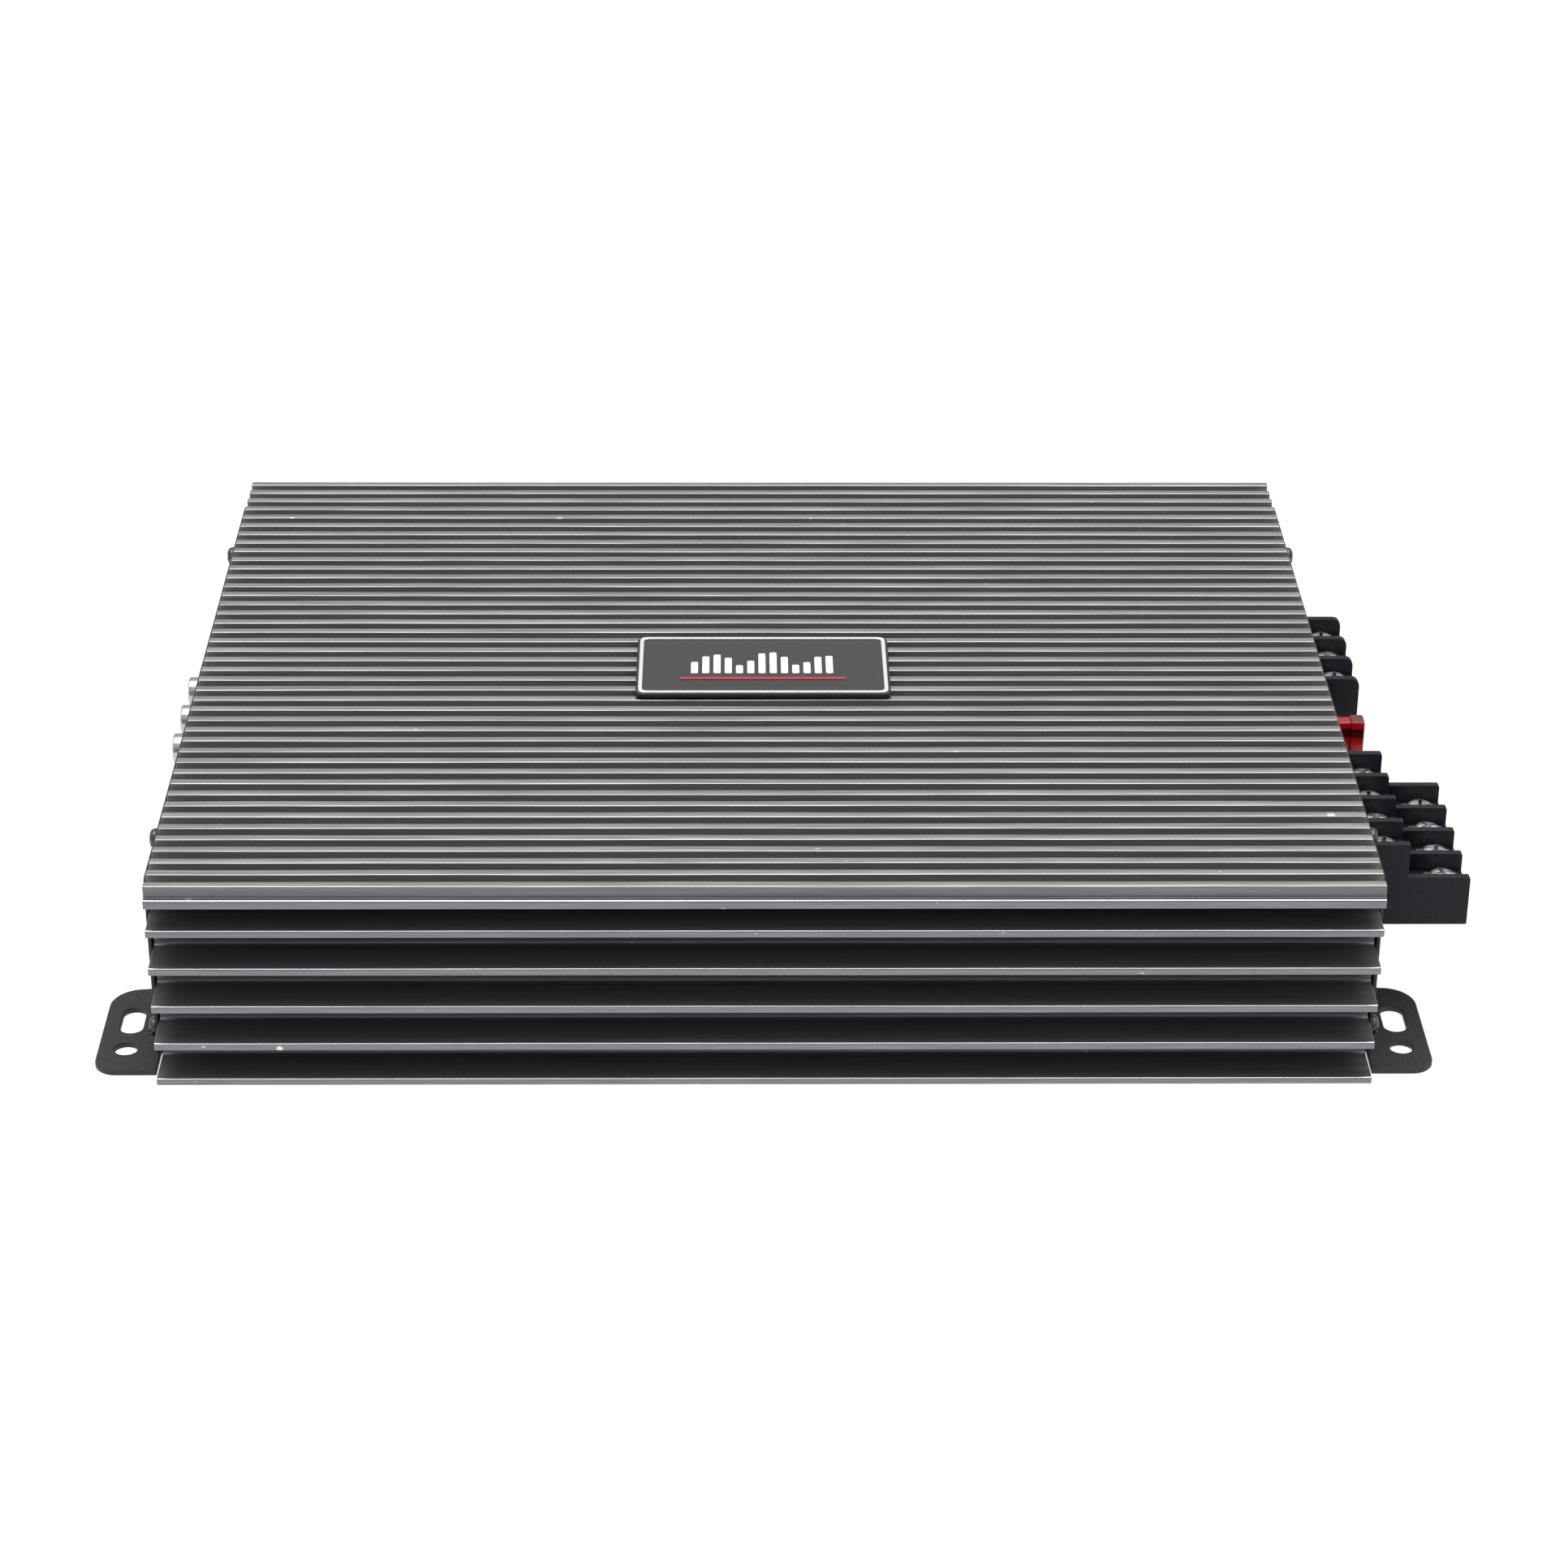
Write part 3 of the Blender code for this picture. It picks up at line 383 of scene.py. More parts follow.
def surface(name, dark, light, rough, size, stretch=(1.0, 1.0, 1.0), depth=0.0, specks=None, **constants):
    """A Principled material with grain of a size in millimetres, broad mottling, uneven gloss and a bump.

    depth is the bump's height in millimetres. specks is (colour, grain size, share of the surface).
    """
    made = bpy.data.materials.new(name)
    made.use_nodes = True
    tree = made.node_tree
    shader = tree.nodes["Principled BSDF"]
    where = add_node(tree, "TexCoord").outputs["Object"]
    fine = noise_of(tree, where, size, stretch)
    broad = noise_of(tree, where, 18.0 + 8 * size, stretch=(2.0, 1.0, 1.0), seed=3.7)
    colour = blend_of(tree, fine, dark, light)
    half = tuple((a + b) / 2 for a, b in zip(dark, light))
    patch = ramp(tree, broad, 0.0, 1.0, 0.0, 0.45)
    colour = blend_of(tree, patch, colour, half)
    gloss = ramp(tree, noise_of(tree, where, 2.3 * size, stretch, seed=9.1), 0.0, 1.0, *rough)
    if specks:
        tint, speck_size, share = specks
        spots = noise_of(tree, where, speck_size, (2.5, 1.0, 1.0), detail=1.0, spread=0.3, seed=5.3)
        colour = blend_of(tree, ramp(tree, spots, 1 - share, 1.02 - share), colour, tint)
    tree.links.new(colour, shader.inputs["Base Color"])
    tree.links.new(gloss, shader.inputs["Roughness"])
    if depth:
        bump = add_node(tree, "Bump", {"Strength": 0.6, "Distance": depth * MM, "Height": fine})
        tree.links.new(bump.outputs[0], shader.inputs["Normal"])
    for socket, value in constants.items():
        shader.inputs[socket.replace("_", " ")].default_value = value
    return made


def metal(name, dark, light, rough, size, **more):
    return surface(name, dark, light, rough, size, **more, Metallic=1.0)


def over(made, colour, mask_of):
    """Lays a colour over a material where a mask, made from the position in the object, is 1."""
    tree = made.node_tree
    base = tree.nodes["Principled BSDF"].inputs["Base Color"]
    mask = mask_of(tree, add_node(tree, "TexCoord").outputs["Object"])
    tree.links.new(blend_of(tree, mask, base.links[0].from_socket, colour), base)


def band(low, high):
    """A mask of the heights between two, in millimetres."""
    def mask(tree, where):
        z = add_node(tree, "SeparateXYZ", {0: where}).outputs["Z"]
        centre, half, soft = (low + high) / 2 * MM, (high - low) / 2 * MM, 0.2 * MM
        away = add_node(tree, "Math", {0: z, 1: centre}, operation="SUBTRACT").outputs[0]
        away = add_node(tree, "Math", {0: away}, operation="ABSOLUTE").outputs[0]
        return ramp(tree, away, half + soft, half - soft)
    return mask


def nick(place, long, wide):
    """A mask of a small worn spot at a place, in millimetres, long along X."""
    def mask(tree, where):
        centre = [value * MM for value in place]
        away = add_node(tree, "VectorMath", {0: where, 1: centre}, operation="SUBTRACT").outputs[0]
        scale = (1 / (long * MM), 1 / (wide * MM), 1 / (wide * MM))
        away = add_node(tree, "VectorMath", {0: away, 1: scale}, operation="MULTIPLY").outputs[0]
        far = add_node(tree, "VectorMath", {0: away}, operation="LENGTH").outputs["Value"]
        return ramp(tree, far, 1.2, 0.8)
    return mask


def make_materials():
    brush = (60.0, 1.0, 1.0)
    made = {
        "anodised": surface("anodised", (0.165, 0.172, 0.19), (0.215, 0.225, 0.25), (0.38, 0.52), 0.45,
                            stretch=brush, depth=0.006, Metallic=0.65),
        # A darker copy of the anodised aluminium: painted shade between the fins, on the end faces and on
        # the fins' flat tops.
        "fin_gap": surface("fin_gap", (0.135, 0.139, 0.146), (0.18, 0.186, 0.195), (0.34, 0.48), 0.45,
                           stretch=brush, depth=0.006, Metallic=0.7),
        # A lighter, less metallic copy of the aluminium: painted light in the shaded rib grooves.
        "groove": surface("groove", (0.16, 0.16, 0.161), (0.22, 0.22, 0.222), (0.42, 0.56), 0.45,
                          stretch=brush, depth=0.006, Metallic=0.4),
        "rib_top": metal("rib_top", (0.28, 0.282, 0.285), (0.56, 0.562, 0.565), (0.26, 0.4), 0.45,
                         stretch=brush, depth=0.006, specks=((0.8, 0.8, 0.8), 1.3, 0.02)),
        # The fin tips' own finish; on the fin roots' fillets it is a painted highlight line.
        "fin_tip": metal("fin_tip", (0.18, 0.186, 0.202), (0.24, 0.248, 0.27), (0.3, 0.42), 0.3,
                         stretch=brush, depth=0.008, specks=((0.6, 0.6, 0.6), 1.1, 0.015)),
        # A bright copy of the aluminium for the fins' rounded top edges: a painted highlight.
        "bright_edge": metal("bright_edge", (0.66, 0.665, 0.68), (0.86, 0.865, 0.88), (0.2, 0.32), 0.4,
                             stretch=brush, depth=0.004),
        "powder": surface("powder", (0.022, 0.022, 0.024), (0.04, 0.04, 0.042), (0.42, 0.6), 0.5, depth=0.06,
                          Specular_IOR_Level=0.3),
        "panel": surface("panel", (0.014, 0.014, 0.016), (0.024, 0.024, 0.027), (0.34, 0.48), 0.35,
                         depth=0.02, Specular_IOR_Level=0.3),
        "nickel": surface("nickel", (0.76, 0.72, 0.66), (0.92, 0.88, 0.82), (0.12, 0.24), 0.6, depth=0.01,
                          Metallic=0.85),
        # Dark nickel: the panel and base screws' own plating, and painted shade in the terminal screws'
        # crosses.
        "aged_nickel": metal("aged_nickel", (0.05, 0.042, 0.038), (0.16, 0.14, 0.125), (0.2, 0.36), 0.5,
                             depth=0.01),
        "jack": metal("jack", (0.42, 0.4, 0.375), (0.58, 0.56, 0.53), (0.16, 0.28), 0.7, depth=0.004),
        "plastic": surface("plastic", (0.009, 0.0105, 0.0155), (0.014, 0.016, 0.023), (0.36, 0.5), 0.4,
                           depth=0.02, Specular_IOR_Level=0.18),
        "knob": surface("knob", (0.014, 0.014, 0.015), (0.028, 0.028, 0.03), (0.3, 0.45), 0.5, depth=0.02),
        "badge_dark": surface("badge_dark", (0.021, 0.022, 0.023), (0.042, 0.043, 0.045), (0.3, 0.44), 0.22,
                              depth=0.012, Specular_IOR_Level=0.4),
        "white_paint": surface("white_paint", (0.84, 0.84, 0.84), (0.9, 0.9, 0.9), (0.25, 0.35), 0.4,
                               depth=0.003),
        "silver": surface("silver", (0.84, 0.84, 0.86), (0.95, 0.95, 0.96), (0.2, 0.3), 0.4, depth=0.003,
                          Metallic=0.6),
        "badge_red": surface("badge_red", (0.4, 0.02, 0.03), (0.55, 0.035, 0.05), (0.25, 0.35), 0.4,
                             depth=0.003),
        "fuse_red": surface("fuse_red", (0.46, 0.003, 0.005), (0.6, 0.006, 0.009), (0.08, 0.18), 1.2,
                            depth=0.01, Transmission_Weight=0.2, IOR=1.5),
        "fuse_metal": metal("fuse_metal", (0.5, 0.5, 0.48), (0.72, 0.72, 0.7), (0.2, 0.35), 0.5,
                            depth=0.004),
        "lamp_green": surface("lamp_green", (0.03, 0.45, 0.08), (0.06, 0.62, 0.13), (0.08, 0.16), 0.6,
                              Transmission_Weight=0.5),
        "lamp_red": surface("lamp_red", (0.55, 0.02, 0.015), (0.75, 0.04, 0.02), (0.08, 0.16), 0.6,
                            Transmission_Weight=0.5),
        "cream": surface("cream", (0.62, 0.58, 0.48), (0.76, 0.72, 0.62), (0.3, 0.45), 0.8, depth=0.01),
        "print": surface("print", (0.5, 0.5, 0.5), (0.62, 0.62, 0.62), (0.4, 0.55), 0.3, depth=0.004),
        "steel": metal("steel", (0.36, 0.36, 0.37), (0.5, 0.5, 0.51), (0.3, 0.45), 0.5, depth=0.01),
        "sleeve": surface("sleeve", (0.012, 0.018, 0.06), (0.02, 0.03, 0.09), (0.22, 0.34), 0.8, depth=0.01),
        "board": surface("board", (0.008, 0.07, 0.03), (0.03, 0.2, 0.08), (0.25, 0.4), 2.2,
                         stretch=(6.0, 1.0, 1.0), depth=0.02),
        "copper": metal("copper", (0.42, 0.14, 0.05), (0.72, 0.32, 0.15), (0.22, 0.36), 0.7,
                        stretch=(1.0, 1.0, 14.0), depth=0.15),
    }
    fuse_top = limits("fuse_body")[1][2]
    # Painted shade: a dark band across the fuse a little below its top.
    over(made["fuse_red"], (0.07, 0.001, 0.002), band(fuse_top - 4.8, fuse_top - 2.1))
    # Painted highlight: a greyish band over the fuse's top face.
    over(made["fuse_red"], (0.13, 0.035, 0.035), band(fuse_top - 0.2, fuse_top + 1.0))
    over(made["rib_top"], (0.9, 0.9, 0.9), nick((141.2, -86.1, HEIGHT), 1.1, 0.9))
    over(made["fin_gap"], (0.7, 0.7, 0.7), nick((-139.0, -122.6, 52.1), 0.9, 0.7))
    over(made["fin_tip"], (0.7, 0.7, 0.7), nick((-119.2, -124.0, 10.6), 0.8, 0.6))
    return made


# ---------------------------------------------------------------- heat sink

def heatsink_side():
    """Corners (y, z, radius) of the +Y side, from the last rib's top down to the inner bottom edge."""
    inner, outer = WALL
    corners = [(RIB_FIELD, HEIGHT - RIB_CROWN, EDGE_ROUND), (RIB_FIELD, FIN_TOPS[0], 0.3)]
    for number, top in enumerate(FIN_TOPS):
        bottom = max(top - FIN_THICKNESS[number], 0.0)
        if number:
            corners.append((outer, top, FIN_ROOT))
        corners.append((FIN_TIP, top, FIN_ROUND if number else FIRST_FIN_ROUND))
        corners.append((FIN_TIP, bottom, EDGE_ROUND * 0.8))
        if bottom > 0.0:
            corners.append((outer, bottom, FIN_ROOT))
    return corners + [(inner, 0.0, 0.2)]


def heatsink_inside():
    """Corners of the +Y side's inner face: channel, board guide, wall, roof corner and screw boss."""
    inner = WALL[0]
    steps = [(inner, 1.9), (103.8, 1.9), (103.8, 8.0), (101.2, 8.0), (101.2, 1.9), (99.2, 1.9), (99.2, 12.6)]
    steps += [(inner, 12.6), (inner, 14.8), (106.5, 14.8), (106.5, 16.3), (inner, 16.3)]
    steps += [(inner, ROOF - 4.0), (inner - 4.0, ROOF)]
    steps += [(88.8, ROOF), (88.8, 44.6), (81.6, 44.6), (81.6, ROOF)]
    return [(y, z, 0.0) for y, z in steps]


def rib_corners():
    """The ribs' outline from the first rib's crown to the last rib's, with rounded crowns."""
    floor = HEIGHT - RIB_HEIGHT
    shoulder = HEIGHT - RIB_CROWN
    corners = []
    for number in range(RIB_COUNT):
        start = -RIB_FIELD + number * RIB_PITCH
        end = start + RIB_WIDTH
        if number:
            corners += [(start, floor, 0.4), (start, shoulder, EDGE_ROUND)]
        for share in (0.3, 0.5, 0.7):
            corners.append((start + share * RIB_WIDTH, HEIGHT - RIB_CROWN * (2 * share - 1) ** 2, 0.0))
        if number < RIB_COUNT - 1:
            corners += [(end, shoulder, EDGE_ROUND), (end, floor, 0.4)]
    return corners


def shell_wobble(y, z, x):
    """The drawn metal is never quite straight: ribs and fins waver by a few hundredths of a millimetre."""
    if z > HEIGHT - RIB_HEIGHT + 1.0 and abs(y) <= RIB_FIELD + 0.1:
        row = round((y + RIB_FIELD - RIB_WIDTH / 2) / RIB_PITCH)
        near_end = math.exp((abs(x) - SHELL_END) / 12.0)
        lift = noise.noise(Vector((x / 38.0, row * 3.1, 0.0)))
        lean = noise.noise(Vector((x / 55.0, row * 2.3, 7.0)))
        tilt = 0.045 * noise.noise(Vector((x / 90.0, row * 5.3, 21.0)))
        z += tilt * (y + RIB_FIELD - RIB_WIDTH / 2 - row * RIB_PITCH) - 0.05 * (1.0 + lift) - 0.06
        y += (0.10 + 0.16 * near_end) * lean
    elif abs(y) > WALL[1] + FIN_ROOT:
        row = round(z / 10.0)
        z = max(z + 0.05 * noise.noise(Vector((x / 60.0, row * 4.7, 3.0 if y > 0 else 11.0))), 0.0)
    return y, z


def heatsink_kind(centre, normal):
    """The material of a face of the extrusion, from its place and the way it faces. Rib tops and fin tips
    keep finishes of their own. The darker copy is painted shade, the groove copy is painted light, and the
    bright edge copy and the fillet lines are painted highlights.
    """
    y, z = abs(centre.y) / MM, centre.z / MM
    on_ribs = y < RIB_FIELD + 0.1
    # End faces take the darker copy: painted shade.
    if abs(normal.x) > 0.5:
        return "fin_gap"
    if z > HEIGHT - 2 * EDGE_ROUND - 0.1 and on_ribs:
        return "rib_top"
    # Rounded top edges near the fin tips take the bright copy, a painted highlight; the flat tops beside
    # them take the darker copy, painted shade.
    if y > FIN_TIP - FIRST_FIN_ROUND and normal.z > 0.2:
        return "bright_edge" if abs(normal.y) > 0.12 else "fin_gap"
    if y > FIN_TIP - EDGE_ROUND:
        return "fin_tip"
    # Rib flanks and groove floors take the lighter groove copy: painted light.
    if z > HEIGHT - RIB_HEIGHT - 0.3 and y < RIB_FIELD - 1.0:
        return "groove"
    # Faces between the fins take the darker copy: painted shade.
    if WALL[1] - 0.2 < y and z < FIN_TOPS[0]:
        # The fillets at the fin roots take the tip copy: a painted highlight line.
        in_fillet = normal.z > 0.5 and abs(normal.y) > 0.25
        return "fin_tip" if in_fillet else "fin_gap"
    return "anodised"


def make_heatsink(finishes):
    half = heatsink_side() + heatsink_inside()
    outline = rounded(rib_corners() + half + [(-y, z, radius) for y, z, radius in reversed(half)])
    bores = [circle(centre, PANEL_SCREW_BORE, 12) for centre in PANEL_SCREWS]
    break_in = 0.14
    inner = SHELL_END - break_in
    stations = [(-SHELL_END, break_in)]
    stations += [(-inner + 2 * inner * step / STATIONS, 0.0) for step in range(STATIONS + 1)]
    stations.append((SHELL_END, break_in))
    mesh = mesh_of(sweep([outline, *bores], stations, "X", shell_wobble), "heatsink", sharp=44.0)
    kinds = ("anodised", "fin_gap", "groove", "rib_top", "fin_tip", "bright_edge")
    for kind in kinds:
        mesh.materials.append(finishes[kind])
    for face in mesh.polygons:
        face.material_index = kinds.index(heatsink_kind(face.center, face.normal))
    add("heatsink", mesh, "chassis", finishes["anodised"], ["heatsink_shell"])


# ---------------------------------------------------------------- plates

EAR_INNER, EAR_OUTER = 150.6, 166.5
EAR_FRONT, EAR_REAR, EAR_ROOT = 119.6, 80.0, 78.8
EAR_HOLE = (159.5, 109.2)
EAR_SLOT = (159.5, 95.6)
EAR_HOLE_RADIUS = 2.9
EAR_SLOT_REACH = 3.2
PLATE_HALF_WIDTH = 109.2
PLATE_TOP = 1.6
PLATE_SCREWS = ((-120.0, -102.5), (120.0, -102.5), (-120.0, 102.5), (120.0, 102.5))


def slot_outline(centre, radius, reach):
    """A slot with round ends, long along Y."""
    ends = arc((centre[0], centre[1] + reach), radius, 0.0, 180.0, 16)
    return ends + arc((centre[0], centre[1] - reach), radius, 180.0, 360.0, 16)


def make_bottom_plate(finishes):
    front, rear = 5.5, 8.0
    quarter = [(EAR_INNER, -PLATE_HALF_WIDTH), (EAR_INNER, -EAR_FRONT)]
    quarter += arc((EAR_OUTER - front, -EAR_FRONT + front), front, -90.0, 0.0, 12)
    quarter += arc((EAR_OUTER - rear, -EAR_REAR - rear), rear, 0.0, 90.0, 14)
    quarter.append((EAR_INNER, -EAR_ROOT))
    side = quarter + [(x, -y) for x, y in reversed(quarter)]
    loops = [side + [(-x, y) for x, y in reversed(side)]]
    for sx in (1, -1):
        for sy in (1, -1):
            loops.append(circle((sx * EAR_HOLE[0], sy * EAR_HOLE[1]), EAR_HOLE_RADIUS))
            loops.append(slot_outline((sx * EAR_SLOT[0], sy * EAR_SLOT[1]), EAR_HOLE_RADIUS, EAR_SLOT_REACH))
    wide, deep = 3.4, PLATE_TOP + 0.4
    sinks = [moved(turned(((0.0, deep), (wide - deep, deep), (wide, -0.2), (0.0, -0.2)), 32), (x, y, 0.0))
             for x, y in PLATE_SCREWS]
    mesh = carved(slab(loops, 0.0, PLATE_TOP, 0.25), [joined(*sinks)], "base_plate")
    add("base_plate", mesh, "chassis", finishes["powder"], ["bottom_plate"])


def window(centre, half):
    return rectangle([c - h for c, h in zip(centre, half)], [c + h for c, h in zip(centre, half)])


def terminal_window(block):
    first, pitch, cells = block[:3]
    return rectangle((first - 0.5, 25.5), (first + cells * pitch + BARRIER + 0.5, 44.7))


def make_panels(finishes):
    low, high = limits("input_panel")
    outline = rounded_box(low[1:], high[1:], 2.0)
    holes = [circle(centre, PANEL_SCREW_HOLE, 24) for centre in PANEL_SCREWS]
    input_holes = [circle((y, z), JACK_HOLE) for y in JACK_YS for z in JACK_ZS]
    input_holes += [circle(middle(f"{name}_knob")[1:], KNOB_HOLE) for name in KNOBS]
    input_holes += [window(middle(f"filter_switch_lever_{k}")[1:], LEVER_WINDOW) for k in (1, 2)]
    input_holes += [circle(middle(name)[1:], LAMP_HOLE) for name in LAMPS]
    power_holes = [terminal_window(SPEAKER), terminal_window(POWER)]
    power_holes.append(window(middle("fuse_holder")[1:], FUSE_WINDOW))
    for name, cutouts in (("input_panel", input_holes), ("power_panel", power_holes)):
        ends = sorted((limits(name)[0][0], limits(name)[1][0]))
        mesh = slab([outline, *holes, *cutouts], *ends, 0.18, "X")
        add(name.replace("panel", "face"), mesh, "chassis", finishes["panel"], [name])


def make_prints(finishes):
    """Generic marks on the input panel: ticks round each control, frames round jacks and switches."""
    face = limits("input_panel")[0][0]
    marks = []

    def mark(loops):
        marks.append(sweep(loops, ((face - 0.06, 0.0), (face - 0.01, 0.0)), "X"))

    for name in KNOBS:
        _, y, z = middle(f"{name}_knob")
        for tick in range(11):
            angle = math.radians(-60.0 + 30.0 * tick)
            inner, outer, half = 5.4, 6.8 if tick % 5 == 0 else 6.3, 0.16
            along = Vector((math.cos(angle), math.sin(angle)))
            aside = Vector((-along.y, along.x)) * half
            centre = Vector((y, z))
            ends = (along * inner, along * outer)
            corners = [ends[0] + aside, ends[1] + aside, ends[1] - aside, ends[0] - aside]
            mark([[tuple(centre + corner) for corner in corners]])
    for low, high in (((-6.8, 8.2), (43.0, 36.4)), ((-100.8, 21.4), (-71.2, 34.6))):
        outer = rounded_box(low, high, 2.0)
        inner = rounded_box((low[0] + 0.35, low[1] + 0.35), (high[0] - 0.35, high[1] - 0.35), 1.7)
        mark([outer, inner])
    add("panel_marks", joined(*marks), "chassis", finishes["print"])


# ---------------------------------------------------------------- screws

def cross_cutter(reach, half_width, bottom, top):
    """A tapered cross: wide at the top and narrow at the bottom of the recess."""
    arms = []
    for turn in (0.0, 90.0):
        loop = rectangle((-reach, -half_width), (reach, half_width))
        stations = ((bottom, 0.42 * half_width), (top, -0.25 * half_width))
        arms.append(moved(sweep([loop], stations), turn=Matrix.Rotation(math.radians(turn), 3, "Z")))
    return arms


def pan_head(radius, height, thread, length, reach, slot, plate, recess):
    """A domed screw with a rounded rim, a cross recess in a second material and a ringed shank. A darker
    recess material is painted shade in the cross.
    """
    crown = ((0.0, 1.0), (0.3, 0.995), (0.52, 0.965), (0.7, 0.89), (0.83, 0.77), (0.93, 0.6), (0.985, 0.4))
    profile = [(share * radius, high * height) for share, high in crown]
    profile += [(radius, 0.2 * height), (radius - 0.1, 0.0), (thread, 0.0)]
    turns = int(length / 0.7)
    for number in range(turns):
        profile += [(thread, -0.7 * number - 0.2), (thread * 0.84, -0.7 * number - 0.5)]
    profile += [(thread * 0.6, -length), (0.0, -length)]
    cross = cross_cutter(reach, slot, 0.38 * height, height + 0.4)
    head = carved(turned(profile), cross, "pan_screw", edge=0.07, segments=1)
    for finish in (plate, recess):
        head.materials.append(finish)
    # Faces inside the cross take the recess material: painted shade when it is darker than the plate.
    for polygon in head.polygons:
        x, y, z = (value / MM for value in polygon.center)
        in_cross = min(abs(x), abs(y)) < slot and max(abs(x), abs(y)) < reach
        wall = abs(polygon.normal.z) < 0.6 and z < 0.8 * height
        polygon.material_index = int(in_cross and z > 0.3 * height and (wall or z < 0.5 * height))
    return head


def make_terminal_screws(finishes):
    # The terminal screws' crosses take the dark nickel: painted shade in the recesses.
    head = pan_head(**TERMINAL_SCREW, plate=finishes["nickel"], recess=finishes["aged_nickel"])
    rows = [("speaker", count) for count in range(1, 9)] + [("power", count) for count in range(1, 4)]
    for word, count in rows:
        node = f"{word}_terminal_screw_{count}"
        low, high = limits(node)
        seat = high[2] - TERMINAL_SCREW["height"]
        x, y, _ = middle(node)
        piece = add(f"{word}_clamp_screw_{count}", head, f"{word}_screw_{count}",
                    finishes["nickel"], [node], at=(x, y, seat))
        spin(piece, Vector((0, 0, 1)), 17.0 + 53.0 * count)


def spin(piece, axis, degrees):
    """Turns a placed piece about its own origin, so that no two screws stand alike."""
    parent, piece.parent = piece.parent, None
    place = piece.location.copy()
    turn = Matrix.Rotation(math.radians(degrees), 4, axis)
    piece.matrix_world = Matrix.Translation(place) @ turn @ piece.matrix_basis.to_3x3().to_4x4()
    bpy.context.view_layer.update()
    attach(piece, parent.name.split(":", 1)[1])


def make_panel_screws(finishes):
    head = pan_head(**PANEL_SCREW, plate=finishes["aged_nickel"], recess=finishes["aged_nickel"])
    for word, side in (("input", -1), ("power", 1)):
        for count in range(1, 5):
            node = f"{word}_panel_screw_{count}"
            low, high = limits(node)
            seat = high[0] - PANEL_SCREW["height"] if side > 0 else low[0] + PANEL_SCREW["height"]
            _, y, z = middle(node)
            piece = bpy.data.objects.new(f"{word}_face_screw_{count}", head)
            bpy.context.collection.objects.link(piece)
            turn = Matrix.Rotation(math.radians(90.0 * side), 4, "Y")
            turn = Matrix.Rotation(math.radians(31.0 * count + 7.0), 4, "X") @ turn
            piece.matrix_world = Matrix.Translation([v * MM for v in (seat, y, z)]) @ turn
            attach(piece, "chassis")
            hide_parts(node)


def make_plate_screws(finishes):
    rim, shank = 2.9, 7.4
    profile = [(0.0, 0.0), (rim - 0.15, 0.0), (rim, -0.15), (1.1, -1.9)]
    for number in range(7):
        profile += [(1.1, -2.1 - 0.7 * number), (0.92, -2.4 - 0.7 * number)]
    profile += [(0.5, -shank), (0.0, -shank)]
    head = carved(turned(profile), cross_cutter(1.6, 0.4, -1.0, 0.3), "sunk_screw", edge=0.05, segments=1)
    head.materials.append(finishes["aged_nickel"])
    for count, (x, y) in enumerate(PLATE_SCREWS, 1):
        piece = bpy.data.objects.new(f"base_screw_{count}", head)
        bpy.context.collection.objects.link(piece)
        turn = Matrix.Rotation(math.radians(180.0), 4, "X")
        piece.matrix_world = Matrix.Translation([v * MM for v in (x, y, 0.1)]) @ turn
        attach(piece, "chassis")
        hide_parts(f"bottom_plate_screw_{count}")


# ---------------------------------------------------------------- terminals and fuse

def cell_middles(block):
    first, pitch, cells = block[:3]
    return [first + BARRIER + (pitch - BARRIER) / 2 + number * pitch for number in range(cells)]


def make_terminal_block(word, block, finishes):
    """A barrier strip: one moulding with cells and nut wells cut from it, and clamp plates in the cells."""
    first, pitch, cells, steps, corner = block
    inner, foot_end, back_top = BLOCK_BACK
    end = steps[-1][0]
    corners = [(inner, BLOCK_FOOT, 0.0), (foot_end, BLOCK_FOOT, 0.0), (foot_end, BLOCK_BOTTOM, 0.0)]
    corners.append((end, BLOCK_BOTTOM, 0.4))
    for number, (outer, _, wall_top, _) in enumerate(reversed(steps)):
        corners.append((outer, wall_top, corner))
        if number < len(steps) - 1:
            corners.append((steps[-2 - number][0], wall_top, 0.3))
    corners += [(BLOCK_FACE, steps[0][2], 0.3), (BLOCK_FACE, back_top, 0.0), (inner, back_top, 0.3)]
    length = cells * pitch + BARRIER
    body = prism(rounded(corners, 5), first, first + length, "Y")
    cell = [(BLOCK_FACE, steps[0][1])]
    for number, (outer, floor, _, _) in enumerate(steps):
        last = number == len(steps) - 1
        cell.append((outer + (5.0 if last else 0.0), floor))
        if not last:
            cell.append((outer, steps[number + 1][1]))
    cell += [(end + 5.0, 60.0), (BLOCK_FACE, 60.0)]
    half = (pitch - BARRIER) / 2
    middles = cell_middles(block)
    cells_out = joined(*(prism(cell, y - half, y + half, "Y") for y in middles))
    wells = []
    plates = []
    for outer, floor, _, x in steps:
        for y in middles:
            bottom = max(floor - 8.0, BLOCK_BOTTOM + 1.5)
            wells.append(prism(rectangle((x - 2.2, y - 2.2), (x + 2.2, y + 2.2)), bottom, floor + 1.0))
            reach = min(x - BLOCK_FACE, outer - x, 4.3)
            outline = rounded_box((x - reach, y - 3.9), (x + reach, y + 3.9), 0.6)
            plates.append(slab([outline, circle((x, y), 2.0, 24)], floor + 0.01, floor + 0.24, 0.05))
    mesh = carved(body, [cells_out, joined(*wells)], f"{word}_terminals", edge=0.28)
    stands_for = [f"{word}_terminal_block"]
    add(f"{word}_terminals", mesh, "chassis", finishes["plastic"], stands_for)
    add(f"{word}_clamp_plates", joined(*plates), "chassis", finishes["nickel"])


